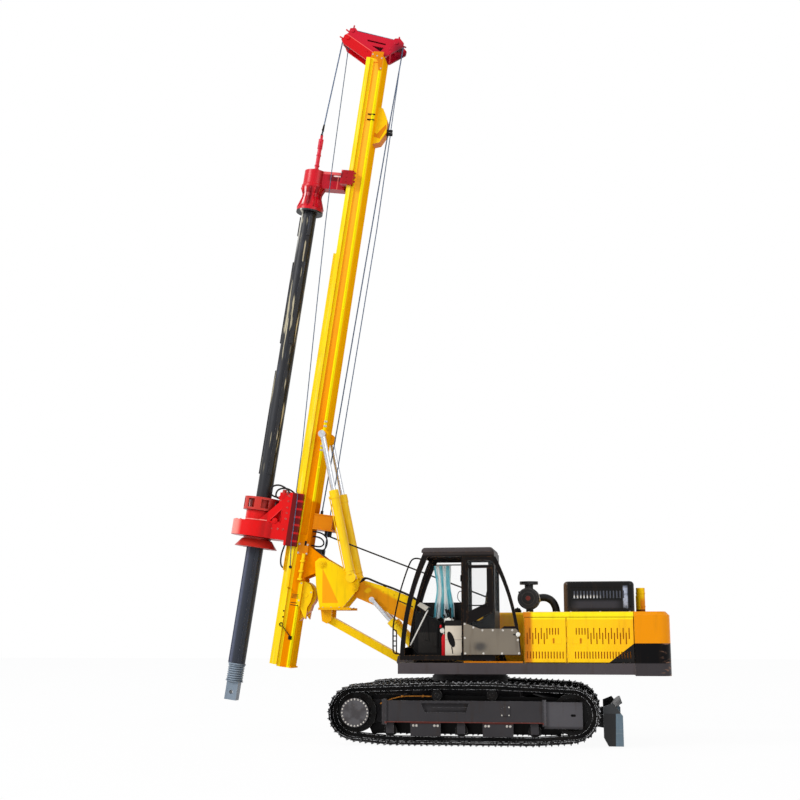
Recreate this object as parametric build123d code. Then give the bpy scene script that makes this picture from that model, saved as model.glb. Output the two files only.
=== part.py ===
"""Rotary piling rig on tracks: every rigid sub-part as its own STEP file, in millimetres.

Frame: +X forward, +Y to the machine's left, +Z up. The origin lies on the ground, on the
axis about which the upper structure slews.
"""
from build123d import *
import math
import os

os.makedirs("parts", exist_ok=True)

# ---------------------------------------------------------------- driving dimensions
# Tracks
TRACK_GAUGE = 2300.0
SHOE_WIDTH = 600.0
SHOE_PITCH = 190.0
GROUSER_HEIGHT = 22.0
SHOE_TOP = 66.0            # shoe plate's outer face, above the line through the chain pins
SHOE_INNER = 37.0          # shoe plate's inner face, above the same line
LINK_DEPTH = 45.0          # chain link's inner edge, below the same line
LINK_BAND_WIDTH = 190.0
DRIVE_X, DRIVE_Z = 1670.0, 490.0
IDLER_X, IDLER_Z = -1680.0, 480.0
END_WHEEL_RADIUS = 352.0   # from the wheel's axle to the line through the chain pins
LOWER_ROLLERS_X = (1130.0, 570.0, 20.0, -550.0, -1110.0)
LOWER_ROLLER_Z = 230.0
CARRIER_ROLLERS_X = (400.0, -460.0)
CARRIER_ROLLER_Z = 760.0
CARRIER_PIN_LINE_Z = 887.0
FRAME_FRONT_X = LOWER_ROLLERS_X[0] + 70.0
FRAME_REAR_X = LOWER_ROLLERS_X[-1] - 150.0
FRAME_HALF_WIDTH = 165.0
FRAME_BOTTOM_Z, FRAME_TOP_Z = 345.0, 675.0
SEAT_GAP = 0.3             # between faces that bear on each other but may turn or slide
BEARING_GAP = 0.6          # round a shaft or along a guide shoe
RUN_GAP = 6.0              # between faces that pass each other

# Centre body, slewing ring and blade
RING_RADIUS = 620.0
RING_BORE = 500.0
RING_BOTTOM_Z, RING_SPLIT_Z = 975.0, 1030.0
DECK_BOTTOM_Z, DECK_TOP_Z = 1080.0, 1250.0
CENTRE_HALF_LENGTH, CENTRE_HALF_WIDTH = 860.0, 720.0
CENTRE_BOTTOM_Z, CENTRE_TOP_Z = 400.0, 850.0
BLADE_HINGE_X, BLADE_HINGE_Z = -1200.0, 450.0
BLADE_HALF_WIDTH = 1300.0
BLADE_TOP_Z, BLADE_BOTTOM_Z = 660.0, 22.0
BLADE_REAR_X = -2440.0
BLADE_THICKNESS = 26.0

# Upper structure
DECK_FRONT_X, DECK_REAR_X = 1000.0, -2655.0
DECK_HALF_WIDTH = 1330.0
HOOD_HALF_WIDTH = DECK_HALF_WIDTH - 20.0
HOOD_FRONT_X, HOOD_REAR_X = -965.0, DECK_REAR_X + 5.0
HOOD_SPLIT_X = -1625.0
HOOD_TOP_Z = 2030.0
HOOD_LIP_Z = HOOD_TOP_Z - 80.0
PANEL = 35.0
WEIGHT_REAR_X = -3200.0
WEIGHT_BOTTOM_Z = DECK_BOTTOM_Z - 18.0
COVER_FRONT_X, COVER_REAR_X = -1580.0, -2690.0
COVER_HALF_WIDTH = 750.0
COVER_TOP_Z = 2520.0

# Cab
CAB_INNER_Y, CAB_OUTER_Y = 360.0, DECK_HALF_WIDTH
CAB_FLOOR_Z, CAB_EAVES_Z = DECK_TOP_Z + 40.0, 2965.0
CAB_TOP_Z = CAB_EAVES_Z + 75.0
CAB_FRONT_X, CAB_REAR_X = 970.0, -530.0
CAB_FRONT_TOP_X = CAB_FRONT_X - 380.0
CAB_WALL = 50.0
DOOR_AXIS_X = -20.0
DOOR_AXIS_Y = CAB_OUTER_Y + 12.5
DOOR_THICKNESS = 44.0
DOOR_EDGE = 18.0           # from the hinge axis to the door's hinge-side edge

# Front linkage: pin centres (X, Z)
BOOM_FOOT = (586.0, 1741.0)
BOOM_TIP = (1900.0, 2450.0)
LINK_FOOT = (1075.0, 1243.0)
LINK_TIP = (LINK_FOOT[0] + BOOM_TIP[0] - BOOM_FOOT[0], LINK_FOOT[1] + BOOM_TIP[1] - BOOM_FOOT[1])
MAST_PIVOT = (2472.0, 2867.0)
BOOM_HALF_WIDTH = 160.0
LIFT_FOOT = (780.0, 1350.0)
LIFT_EYE = (1603.0, 2260.0)
LIFT_Y = 275.0
LIFT_BARREL_RADIUS, LIFT_ROD_RADIUS = 60.0, 34.0
TILT_FOOT = (1940.0, 2625.0)
TILT_EYE = (2463.0, 5065.0)
TILT_Y = 370.0
TILT_BARREL_RADIUS, TILT_ROD_RADIUS = 75.0, 45.0

# Mast: n is measured forward from the mast pivot, square to the mast, and u up along it
MAST_LEAN = 8.2
MAST_FOOT_U, MAST_HEAD_U = -1760.0, 9210.0
MAST_REAR_N, MAST_FRONT_N = 270.0, 510.0
MAST_HALF_WIDTH = 225.0
RAIL_HALF_WIDTH = MAST_HALF_WIDTH + 40.0
RAIL_DEPTH = 75.0
STRIP_DEPTH = 65.0
STRIP_TOP_U = 5440.0
KELLY_N = 1256.0
KELLY_TUBE_RADIUS = 135.0
KELLY_RIB_RADIUS = KELLY_TUBE_RADIUS + 18.0
KELLY_BORE = KELLY_TUBE_RADIUS - 30.0
KELLY_BOTTOM_U, KELLY_TOP_U = -1850.0, 6215.0
INNER_BAR_RADIUS = KELLY_BORE - 8.0
STUB_BOTTOM_U = KELLY_BOTTOM_U - 610.0
STUB_HALF_WIDTH = 100.0
SLEEVE_BORE = KELLY_RIB_RADIUS + 7.0
SLEEVE_RADIUS = SLEEVE_BORE + 25.0
HEAD_U = 300.0             # underside of the rotary head's gearbox, where the head is parked


# ---------------------------------------------------------------- shape helpers
def block(x0, x1, y0, y1, z0, z1):
    """A rectangular block between two opposite corners."""
    centre = Pos((x0 + x1) / 2, (y0 + y1) / 2, (z0 + z1) / 2)
    return centre * Box(abs(x1 - x0), abs(y1 - y0), abs(z1 - z0))


def plate(outline, y0, y1):
    """A flat plate from y0 to y1 whose outline is a list of (x, z) corners."""
    wire = Polyline([(x, y0, z) for x, z in outline], close=True)
    return extrude(make_face(wire), amount=y1 - y0, dir=(0, 1, 0))


def pin(centre, y0, y1, radius):
    """A round bar along Y, from y0 to y1, about the point centre = (x, z)."""
    middle = Pos(centre[0], (y0 + y1) / 2, centre[1])
    return middle * Rot(90, 0, 0) * Cylinder(radius, abs(y1 - y0))


def post(x, y, z0, z1, radius):
    """A round bar along Z."""
    return Pos(x, y, (z0 + z1) / 2) * Cylinder(radius, z1 - z0)


def bar(start, end, radius):
    """A round bar between any two points."""
    along = Vector(*end) - Vector(*start)
    return extrude(Plane(origin=start, z_dir=along) * Circle(radius), amount=along.length)


def both_sides(shape):
    """The shape and its mirror image on the other side of the machine."""
    return [shape, mirror(shape, about=Plane.XZ)]


def save(node, *shapes):
    """Write one node; shapes that stay apart keep their own solids."""
    solids = []
    for shape in shapes:
        pieces = shape if isinstance(shape, (list, tuple)) else [shape]
        for piece in pieces:
            solids.extend(piece.solids())
    export_step(solids[0] if len(solids) == 1 else Compound(children=solids), f"parts/{node}.step")


MAST_PLACE = Pos(MAST_PIVOT[0], 0, MAST_PIVOT[1]) * Rot(0, -MAST_LEAN, 0)


def save_on_mast(node, *shapes):
    """Write a node whose shapes are given with X = n and Z = u of the mast."""
    placed = []
    for shape in shapes:
        pieces = shape if isinstance(shape, (list, tuple)) else [shape]
        placed.extend(MAST_PLACE * piece for piece in pieces)
    save(node, *placed)


def to_mast(point):
    """A machine (X, Z) point in the mast's (n, u)."""
    lean = math.radians(MAST_LEAN)
    dx, dz = point[0] - MAST_PIVOT[0], point[1] - MAST_PIVOT[1]
    return (dx * math.cos(lean) + dz * math.sin(lean), dz * math.cos(lean) - dx * math.sin(lean))


# ---------------------------------------------------------------- tracks
# Wheels that the chain goes round, in the order bottom, front, top, rear:
# (x, z, radius to the line through the chain pins)
GROUND_PIN_LINE_Z = SHOE_TOP + GROUSER_HEIGHT
WHEELS = (
    (LOWER_ROLLERS_X[-1], LOWER_ROLLER_Z, LOWER_ROLLER_Z - GROUND_PIN_LINE_Z),
    (LOWER_ROLLERS_X[0], LOWER_ROLLER_Z, LOWER_ROLLER_Z - GROUND_PIN_LINE_Z),
    (DRIVE_X, DRIVE_Z, END_WHEEL_RADIUS),
    (CARRIER_ROLLERS_X[0], CARRIER_ROLLER_Z, CARRIER_PIN_LINE_Z - CARRIER_ROLLER_Z),
    (CARRIER_ROLLERS_X[1], CARRIER_ROLLER_Z, CARRIER_PIN_LINE_Z - CARRIER_ROLLER_Z),
    (IDLER_X, IDLER_Z, END_WHEEL_RADIUS),
)


def belt_normals():
    """The outward direction, in radians, of each straight run from one wheel to the next."""
    angles = []
    for wheel, after in zip(WHEELS, WHEELS[1:] + WHEELS[:1]):
        run = math.hypot(after[0] - wheel[0], after[1] - wheel[1])
        heading = math.atan2(after[1] - wheel[1], after[0] - wheel[0])
        angles.append(heading - math.pi / 2 + math.asin((wheel[2] - after[2]) / run))
    return angles


def belt_face(offset):
    """The face inside the belt at a distance outside the line through the chain pins."""
    edges = []
    angles = belt_normals()
    for i, (x, z, radius) in enumerate(WHEELS):
        radius = radius + offset
        start, end = angles[i - 1], angles[i]
        while end < start:
            end += 2 * math.pi
        spots = [(x + radius * math.cos(a), 0, z + radius * math.sin(a))
                 for a in (start, (start + end) / 2, end)]
        if end - start > 1e-6:
            edges.append(ThreePointArc(*spots))
        after = WHEELS[(i + 1) % len(WHEELS)]
        reach = after[2] + offset
        edges.append(Line(spots[2], (after[0] + reach * math.cos(end), 0,
                                     after[1] + reach * math.sin(end))))
    return make_face(edges)


def pin_line():
    """Evenly spaced chain pins (x, z) all the way round."""
    runs = []
    angles = belt_normals()
    for i, (x, z, radius) in enumerate(WHEELS):
        start, end = angles[i - 1], angles[i]
        while end < start:
            end += 2 * math.pi
        runs.append(("arc", radius * (end - start), x, z, radius, start))
        after = WHEELS[(i + 1) % len(WHEELS)]
        begin = (x + radius * math.cos(end), z + radius * math.sin(end))
        finish = (after[0] + after[2] * math.cos(end), after[1] + after[2] * math.sin(end))
        runs.append(("line", math.dist(begin, finish), begin, finish))
    length = sum(run[1] for run in runs)
    count = round(length / SHOE_PITCH)
    pins = []
    for k in range(count):
        left = k * length / count
        for run in runs:
            if left <= run[1]:
                break
            left -= run[1]
        if run[0] == "arc":
            angle = run[5] + left / run[4]
            pins.append((run[2] + run[4] * math.cos(angle), run[3] + run[4] * math.sin(angle)))
        else:
            share = left / run[1]
            pins.append(tuple(a + (b - a) * share for a, b in zip(run[2], run[3])))
    return pins


# One shoe's outer outline: (distance along the shoe as a share of the pitch, height above
# the pin line); two grousers on a plate with a gap at each end
SHOE_GAP_Z = SHOE_INNER + 10.0
SHOE_OUTLINE = (
    (0.02, SHOE_GAP_Z), (0.02, SHOE_TOP), (0.12, SHOE_TOP),
    (0.15, SHOE_TOP + GROUSER_HEIGHT), (0.21, SHOE_TOP + GROUSER_HEIGHT), (0.24, SHOE_TOP),
    (0.66, SHOE_TOP), (0.69, SHOE_TOP + GROUSER_HEIGHT), (0.75, SHOE_TOP + GROUSER_HEIGHT),
    (0.78, SHOE_TOP), (0.98, SHOE_TOP), (0.98, SHOE_GAP_Z),
)


def track_loop():
    """The whole track about Y = 0: shoes with grousers, and the band of chain links."""
    pins = pin_line()
    outline = []
    for (x0, z0), (x1, z1) in zip(pins, pins[1:] + pins[:1]):
        pitch = math.dist((x0, z0), (x1, z1))
        along = ((x1 - x0) / pitch, (z1 - z0) / pitch)
        outward = (along[1], -along[0])
        for share, height in SHOE_OUTLINE:
            outline.append((x0 + along[0] * share * pitch + outward[0] * height,
                            z0 + along[1] * share * pitch + outward[1] * height))
    half = SHOE_WIDTH / 2
    shoes = plate(outline, -half, half)
    inside = Pos(0, half + 1, 0) * extrude(belt_face(SHOE_INNER - 14), amount=SHOE_WIDTH + 2,
                                           dir=(0, -1, 0))
    shoes = shoes - inside
    band_half = LINK_BAND_WIDTH / 2
    band = belt_face(SHOE_INNER - 13) - belt_face(-LINK_DEPTH)
    band = Pos(0, band_half, 0) * extrude(band, amount=LINK_BAND_WIDTH, dir=(0, -1, 0))
    return shoes + band


track_y = TRACK_GAUGE / 2
track = Pos(0, track_y, 0) * track_loop()
track_left, track_right = both_sides(track)
save("track_left", track_left)
save("track_right", track_right)

# ---------------------------------------------------------------- track frames and wheels
lower_roller_radius = LOWER_ROLLER_Z - GROUND_PIN_LINE_Z - LINK_DEPTH - SEAT_GAP
carrier_radius = CARRIER_PIN_LINE_Z - CARRIER_ROLLER_Z - LINK_DEPTH - SEAT_GAP
end_wheel_rim = END_WHEEL_RADIUS - LINK_DEPTH - SEAT_GAP
SHAFT_RADIUS = 32.0
BRACKET_INNER = 97.0       # roller brackets stand each side of the link band
BRACKET_OUTER = 130.0
GUARD_HALF_LENGTH = 235.0
GUARDED_ROLLERS_X = (LOWER_ROLLERS_X[1], LOWER_ROLLERS_X[3])
MOTOR_COVER_RADIUS = 220.0
YOKE_REAR_X = IDLER_X - 160.0
END_PLATE_LIP = 15.0
POCKET_DEPTH = 60.0

frame = block(FRAME_REAR_X, FRAME_FRONT_X, -FRAME_HALF_WIDTH, FRAME_HALF_WIDTH,
              FRAME_BOTTOM_Z, FRAME_TOP_Z)
pocket_top, pocket_foot = FRAME_TOP_Z - 35, FRAME_TOP_Z - 175
pocket = plate([(640, pocket_top), (580, pocket_foot), (-60, pocket_foot), (-110, pocket_top)],
               FRAME_HALF_WIDTH - POCKET_DEPTH, FRAME_HALF_WIDTH + 1)
frame -= pocket
end_half = FRAME_HALF_WIDTH + END_PLATE_LIP
for x0, x1 in ((FRAME_FRONT_X - 1, FRAME_FRONT_X + 50), (FRAME_REAR_X - 30, FRAME_REAR_X + 1)):
    frame += block(x0, x1, -end_half, end_half, FRAME_BOTTOM_Z - 2 * END_PLATE_LIP,
                   FRAME_TOP_Z + END_PLATE_LIP + 5)
for x in LOWER_ROLLERS_X:
    for side in (-1, 1):
        frame += block(x - 60, x + 60, side * BRACKET_INNER, side * BRACKET_OUTER,
                       LOWER_ROLLER_Z - 50, FRAME_BOTTOM_Z + 1)
for x in GUARDED_ROLLERS_X:
    frame += block(x - GUARD_HALF_LENGTH, x + GUARD_HALF_LENGTH, BRACKET_OUTER - 1,
                   BRACKET_OUTER + 25, LOWER_ROLLER_Z - 90, FRAME_BOTTOM_Z + 1)
for x in CARRIER_ROLLERS_X:
    frame += block(x - 45, x + 45, -BRACKET_OUTER, -BRACKET_INNER, FRAME_TOP_Z - 1,
                   CARRIER_ROLLER_Z + 45)
# Yoke that holds the idler: one plate each side of the link band
for side in (-1, 1):
    frame += block(YOKE_REAR_X, FRAME_REAR_X, side * BRACKET_INNER, side * (BRACKET_OUTER + 15),
                   IDLER_Z - 210, IDLER_Z + 185)
# Bracket plate that carries the track drive, on the machine's inner side
DRIVE_PLATE_Y = (-FRAME_HALF_WIDTH - 10, -FRAME_HALF_WIDTH + 40)
DRIVE_PLATE_RADIUS = 190.0
drive_plate = plate([(FRAME_FRONT_X, FRAME_BOTTOM_Z - 5), (DRIVE_X, DRIVE_Z - DRIVE_PLATE_RADIUS),
                     (DRIVE_X, DRIVE_Z + DRIVE_PLATE_RADIUS), (FRAME_FRONT_X, FRAME_TOP_Z + 5)],
                    *DRIVE_PLATE_Y)
drive_plate += pin((DRIVE_X, DRIVE_Z), *DRIVE_PLATE_Y, DRIVE_PLATE_RADIUS)
frame += drive_plate

idler = pin((IDLER_X, IDLER_Z), -70, 70, end_wheel_rim)
idler -= pin((IDLER_X, IDLER_Z), 35, 71, end_wheel_rim - 60)
idler -= pin((IDLER_X, IDLER_Z), -71, -35, end_wheel_rim - 60)
idler += pin((IDLER_X, IDLER_Z), -BRACKET_INNER + SEAT_GAP, BRACKET_INNER - SEAT_GAP, 70)
lower_rollers = []
for x in LOWER_ROLLERS_X:
    roller = pin((x, LOWER_ROLLER_Z), -92, 92, lower_roller_radius)
    roller += pin((x, LOWER_ROLLER_Z), -BRACKET_INNER + SEAT_GAP, BRACKET_INNER - SEAT_GAP,
                  SHAFT_RADIUS)
    lower_rollers.append(roller)
carrier_rollers = []
for x in CARRIER_ROLLERS_X:
    roller = pin((x, CARRIER_ROLLER_Z), -85, 85, carrier_radius)
    roller += pin((x, CARRIER_ROLLER_Z), -BRACKET_INNER + SEAT_GAP, 90, SHAFT_RADIUS)
    roller -= block(x - 200, x + 200, -200, 200, 0, FRAME_TOP_Z + 4)
    carrier_rollers.append(roller)
sprocket = pin((DRIVE_X, DRIVE_Z), -38, 38, end_wheel_rim)
sprocket += pin((DRIVE_X, DRIVE_Z), 37, 240, MOTOR_COVER_RADIUS)
sprocket += pin((DRIVE_X, DRIVE_Z), DRIVE_PLATE_Y[1] + SEAT_GAP, -37, DRIVE_PLATE_RADIUS - 20)

for side_name, mirrored in (("left", False), ("right", True)):
    def place(shape):
        """Move a track piece from Y = 0 out to its own side."""
        shape = Pos(0, track_y, 0) * shape
        return mirror(shape, about=Plane.XZ) if mirrored else shape

    save(f"track_frame_{side_name}", place(frame))
    save(f"sprocket_{side_name}", place(sprocket))
    wheels = [idler] + lower_rollers + carrier_rollers
    save(f"track_wheels_{side_name}", *[place(wheel) for wheel in wheels])

# ---------------------------------------------------------------- centre body and blade
inner_frame_y = track_y - FRAME_HALF_WIDTH
BLADE_ARM_Y = 470.0
BLADE_ARM_HALF = 45.0
RAM_EYE_HALF = 60.0        # half the length of the blade ram's two eyes, along their pins
CENTRE_REAR_X = -CENTRE_HALF_LENGTH
RAM_FOOT = (CENTRE_REAR_X - 125, CENTRE_TOP_Z - 60)
RAM_EYE = (BLADE_REAR_X + 280, 470.0)
BEAM_TOP_Z = CENTRE_BOTTOM_Z + 270
centre = block(CENTRE_REAR_X, CENTRE_HALF_LENGTH, -CENTRE_HALF_WIDTH, CENTRE_HALF_WIDTH,
               CENTRE_BOTTOM_Z, CENTRE_TOP_Z)
for x0, x1 in ((420, CENTRE_HALF_LENGTH - 60), (CENTRE_REAR_X + 60, -420)):
    centre += block(x0, x1, -inner_frame_y, inner_frame_y, CENTRE_BOTTOM_Z, BEAM_TOP_Z)
centre += post(0, 0, CENTRE_TOP_Z - 1, RING_BOTTOM_Z, RING_RADIUS)
# Rear lugs for the blade arms and for the blade's ram
for side in (-1, 1):
    lug_y = side * (BLADE_ARM_Y - BLADE_ARM_HALF)
    lug = plate([(CENTRE_REAR_X + 1, CENTRE_BOTTOM_Z), (CENTRE_REAR_X + 1, CENTRE_BOTTOM_Z + 220),
                 (BLADE_HINGE_X - 40, BLADE_HINGE_Z + 70), (BLADE_HINGE_X - 70, BLADE_HINGE_Z),
                 (BLADE_HINGE_X - 40, BLADE_HINGE_Z - 60)], 0, side * 40)
    centre += Pos(0, lug_y - side * (40 + SEAT_GAP), 0) * lug
RAM_LUG_Y = (RAM_EYE_HALF + 0.5, RAM_EYE_HALF + 30)
for lug_y in (RAM_LUG_Y, (-RAM_LUG_Y[1], -RAM_LUG_Y[0])):
    centre += plate([(CENTRE_REAR_X + 1, RAM_FOOT[1] - 90), (CENTRE_REAR_X + 1, CENTRE_TOP_Z - 1),
                     (RAM_FOOT[0] - 55, CENTRE_TOP_Z - 1), (RAM_FOOT[0] - 55, RAM_FOOT[1] - 50)],
                    *lug_y)
save("centre_frame", centre)

slew_ring = post(0, 0, RING_BOTTOM_Z, RING_SPLIT_Z, RING_RADIUS) - post(0, 0, 900, 1100, RING_BORE)
save("slew_ring", slew_ring)

# Blade: a curved mouldboard, hollow to the rear, with end plates and two arms
BLADE_HOLLOW = 190.0
blade_mid_x = BLADE_REAR_X + BLADE_HOLLOW
blade_mid_z = (BLADE_TOP_Z + BLADE_BOTTOM_Z) / 2


def blade_arc(shift):
    """One face of the mouldboard, moved forward by shift."""
    return ThreePointArc((BLADE_REAR_X + shift, 0, BLADE_BOTTOM_Z),
                         (blade_mid_x + shift, 0, blade_mid_z),
                         (BLADE_REAR_X + shift, 0, BLADE_TOP_Z))


rear_face, front_face = blade_arc(0), blade_arc(BLADE_THICKNESS)
mouldboard = make_face([rear_face, front_face, Line(rear_face @ 0, front_face @ 0),
                        Line(rear_face @ 1, front_face @ 1)])
blade = extrude(mouldboard, amount=BLADE_HALF_WIDTH, dir=(0, 1, 0), both=True)
BLADE_FRONT_X = blade_mid_x + 100.0
BLADE_EYE_RADIUS = 70.0
END_PLATE = 25.0
end_plate = plate([(BLADE_REAR_X - 5, BLADE_BOTTOM_Z), (BLADE_REAR_X - 5, BLADE_TOP_Z - 190),
                   (BLADE_REAR_X + 140, BLADE_TOP_Z), (BLADE_FRONT_X, BLADE_TOP_Z - 60),
                   (BLADE_FRONT_X, BLADE_BOTTOM_Z + 128), (BLADE_FRONT_X - 70, BLADE_BOTTOM_Z)],
                  BLADE_HALF_WIDTH - END_PLATE, BLADE_HALF_WIDTH)
for piece in both_sides(end_plate):
    blade += piece
# Box beam behind the mouldboard's middle, which the arms and the ram meet
blade_beam_z = (RAM_EYE[1] - 230, RAM_EYE[1] - 60)
beam_half = BLADE_HALF_WIDTH - END_PLATE + 1
blade += block(BLADE_FRONT_X - 10, blade_mid_x + 12, -beam_half, beam_half, *blade_beam_z)
for side in (-1, 1):
    y0 = side * BLADE_ARM_Y - BLADE_ARM_HALF
    eye_top, eye_foot = BLADE_HINGE_Z + BLADE_EYE_RADIUS, BLADE_HINGE_Z - BLADE_EYE_RADIUS
    arm = plate([(BLADE_FRONT_X - 30, blade_beam_z[0]), (BLADE_FRONT_X - 30, RAM_EYE[1] - 30),
                 (BLADE_HINGE_X - 60, eye_top), (BLADE_HINGE_X, eye_top),
                 (BLADE_HINGE_X, eye_foot), (BLADE_HINGE_X - 60, eye_foot)],
                y0, y0 + 2 * BLADE_ARM_HALF)
    arm += pin((BLADE_HINGE_X, BLADE_HINGE_Z), y0, y0 + 2 * BLADE_ARM_HALF, BLADE_EYE_RADIUS)
    blade += arm
ram_lug_foot = blade_beam_z[1] - 30
for lug_y in (RAM_LUG_Y, (-RAM_LUG_Y[1], -RAM_LUG_Y[0])):
    blade += plate([(BLADE_FRONT_X - 40, ram_lug_foot), (BLADE_FRONT_X - 40, RAM_EYE[1] + 70),
                    (RAM_EYE[0] + 50, RAM_EYE[1] + 70), (RAM_EYE[0] + 50, RAM_EYE[1] - 30),
                    (BLADE_FRONT_X, ram_lug_foot)], *lug_y)
save("blade", blade)


def ram(foot, eye, y, barrel_radius, rod_radius, barrel_share, foot_half, eye_half, eye_radius,
        rod_start):
    """A hydraulic cylinder between two pins: (barrel, rod), both along the line foot to eye.

    rod_start is the room left between the bore's end and the rod's inner end, eye_radius the
    barrel's eye; the rod's is smaller.
    """
    start, end = Vector(foot[0], y, foot[1]), Vector(eye[0], y, eye[1])
    along = (end - start).normalized()
    length = (end - start).length
    mouth = length * barrel_share
    barrel = bar(start + along * eye_radius * 0.6, start + along * mouth, barrel_radius)
    barrel += bar(start + along * (mouth - 90), start + along * mouth, barrel_radius + 8)
    barrel += pin(foot, y - foot_half, y + foot_half, eye_radius)
    bore_start = start + along * (eye_radius + 60)
    barrel -= bar(bore_start, start + along * (mouth + 50), rod_radius + 1)
    rod_eye_radius = 0.72 * eye_radius
    rod = bar(bore_start + along * rod_start, end - along * rod_eye_radius * 0.6, rod_radius)
    rod += pin(eye, y - eye_half, y + eye_half, rod_eye_radius)
    return barrel, rod


BLADE_ROD_START, LIFT_ROD_START, TILT_ROD_START = 118.0, 168.0, 180.0
ram_barrel, ram_rod = ram(RAM_FOOT, RAM_EYE, 0, 50, 28, 0.66, RAM_EYE_HALF, RAM_EYE_HALF, 52,
                          BLADE_ROD_START)
save("blade_ram_barrel", ram_barrel)
save("blade_ram_rod", ram_rod)

# ---------------------------------------------------------------- upper deck
deck = block(DECK_REAR_X, DECK_FRONT_X, -DECK_HALF_WIDTH, DECK_HALF_WIDTH,
             DECK_BOTTOM_Z, DECK_TOP_Z)
RIB_HALF = 380.0
for x0, x1 in ((DECK_REAR_X + 55, -1700), (-1650, -750), (760, DECK_FRONT_X - 50)):
    for y0, y1 in ((-DECK_HALF_WIDTH + 45, -RIB_HALF - 40), (-RIB_HALF, RIB_HALF),
                   (RIB_HALF + 40, DECK_HALF_WIDTH - 45)):
        deck -= block(x0, x1, y0, y1, DECK_BOTTOM_Z - 1, DECK_TOP_Z - 25)
link_notch = 95.0
deck -= block(LINK_FOOT[0] - link_notch, DECK_FRONT_X + 1, -BOOM_HALF_WIDTH - 4, BOOM_HALF_WIDTH + 4,
              DECK_BOTTOM_Z - 1, DECK_TOP_Z + 1)
deck += post(0, 0, RING_SPLIT_Z + SEAT_GAP, DECK_BOTTOM_Z + 1, RING_RADIUS - 20)
deck -= post(0, 0, RING_SPLIT_Z - 1, DECK_BOTTOM_Z + 40, RING_BORE)
# Two upright plates that carry the boom's foot pin and, in front of the deck, the link's
FOOT_PLATE_Y = (BOOM_HALF_WIDTH + 5.0, BOOM_HALF_WIDTH + 45.0)
boom_x, boom_z = BOOM_FOOT
link_x, link_z = LINK_FOOT
foot_outline = [(boom_x - 336, DECK_TOP_Z), (boom_x - 156, boom_z + 39), (boom_x - 86, boom_z + 109),
                (boom_x + 64, boom_z + 109), (boom_x + 134, boom_z + 39), (link_x + 105, link_z + 87),
                (link_x + 125, link_z - 3), (link_x + 55, link_z - 113),
                (DECK_FRONT_X, link_z - 113), (DECK_FRONT_X, DECK_TOP_Z)]
foot_plate = plate(foot_outline, *FOOT_PLATE_Y)
# Rubber-mounted pads under the cab's corners
for x in (CAB_REAR_X + 100, CAB_FRONT_X - 170):
    for y in (CAB_INNER_Y + 90, CAB_OUTER_Y - 90):
        deck += post(x, y, DECK_TOP_Z - 1, CAB_FLOOR_Z, 60)
save("deck_frame", deck, both_sides(foot_plate))

# ---------------------------------------------------------------- counterweight and hood
weight_outline = block(WEIGHT_REAR_X, HOOD_REAR_X - 6, -DECK_HALF_WIDTH, DECK_HALF_WIDTH,
                       WEIGHT_BOTTOM_Z, HOOD_TOP_Z)
upright = weight_outline.edges().filter_by(Axis.Z).sort_by(Axis.X)[:2]
weight = fillet(upright, 180)
rear_top = weight.edges().group_by(Axis.Z)[-1].sort_by(Axis.X)[:3]
weight = chamfer(rear_top, 60)
save("counterweight", weight)

DOOR_GAP = 8.0
door_z = (DECK_TOP_Z + 12, HOOD_LIP_Z - 8)
SLOT_HALF = 8.0
HINGE_RADIUS = 8.0
# Kinds of slot: (top, bottom) below the hood's lip, as shares of the height above the deck
SLOT_KINDS = {"high": (0.24, 0.48), "low": (0.345, 0.59), "short": (0.24, 0.385),
              "foot": (0.75, 0.90)}


def louvred_door(x_front, x_rear, *rows):
    """A left-hand hood door between two x, PANEL thick, with rows of upright slots.

    Each row: (x of its first slot, x of its last, kinds of its slots in turn).
    """
    inner, outer = HOOD_HALF_WIDTH - PANEL, HOOD_HALF_WIDTH
    door = block(x_rear, x_front, inner, outer, *door_z)
    height = HOOD_LIP_Z - DECK_TOP_Z
    for first, last, kinds in rows:
        for k, kind in enumerate(kinds):
            x = first + (last - first) * k / (len(kinds) - 1)
            top, bottom = SLOT_KINDS[kind]
            door -= block(x - SLOT_HALF, x + SLOT_HALF, inner - 1, outer + 1,
                          HOOD_LIP_Z - bottom * height, HOOD_LIP_Z - top * height)
    return door


def knuckles(x):
    """Round hinge knuckles about an upright axis on a hood door's outer face."""
    low, high = door_z
    middle = (low + high) / 2
    return [post(x, HOOD_HALF_WIDTH, z - 40, z + 40, HINGE_RADIUS)
            for z in (low + 100, middle, high - 100)]


front_row = (HOOD_FRONT_X - 58, HOOD_SPLIT_X + 122, 4 * ["low", "high"] + 4 * ["short"])
front_foot_row = (HOOD_FRONT_X - 58, HOOD_SPLIT_X + 57, 13 * ["foot"])
rear_row = (HOOD_SPLIT_X - 152, HOOD_REAR_X + 73, 4 * ["short"] + 7 * ["high", "low"] + ["high"])
rear_foot_row = (HOOD_SPLIT_X - 133, HOOD_REAR_X + 61, 20 * ["foot"])
left_front = louvred_door(HOOD_FRONT_X - 20, HOOD_SPLIT_X + DOOR_GAP, front_row, front_foot_row)
left_rear = louvred_door(HOOD_SPLIT_X - DOOR_GAP, HOOD_REAR_X + DOOR_GAP, rear_row, rear_foot_row)
for knuckle in knuckles(HOOD_FRONT_X - 20):
    left_front += knuckle
for knuckle in knuckles(HOOD_SPLIT_X - DOOR_GAP):
    left_rear += knuckle
save("hood_door_front", left_front)
save("hood_door_rear", left_rear)
right_panel = louvred_door(HOOD_FRONT_X, HOOD_REAR_X, rear_row, rear_foot_row)
save("hood_panel_right", mirror(right_panel, about=Plane.XZ))

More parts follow.
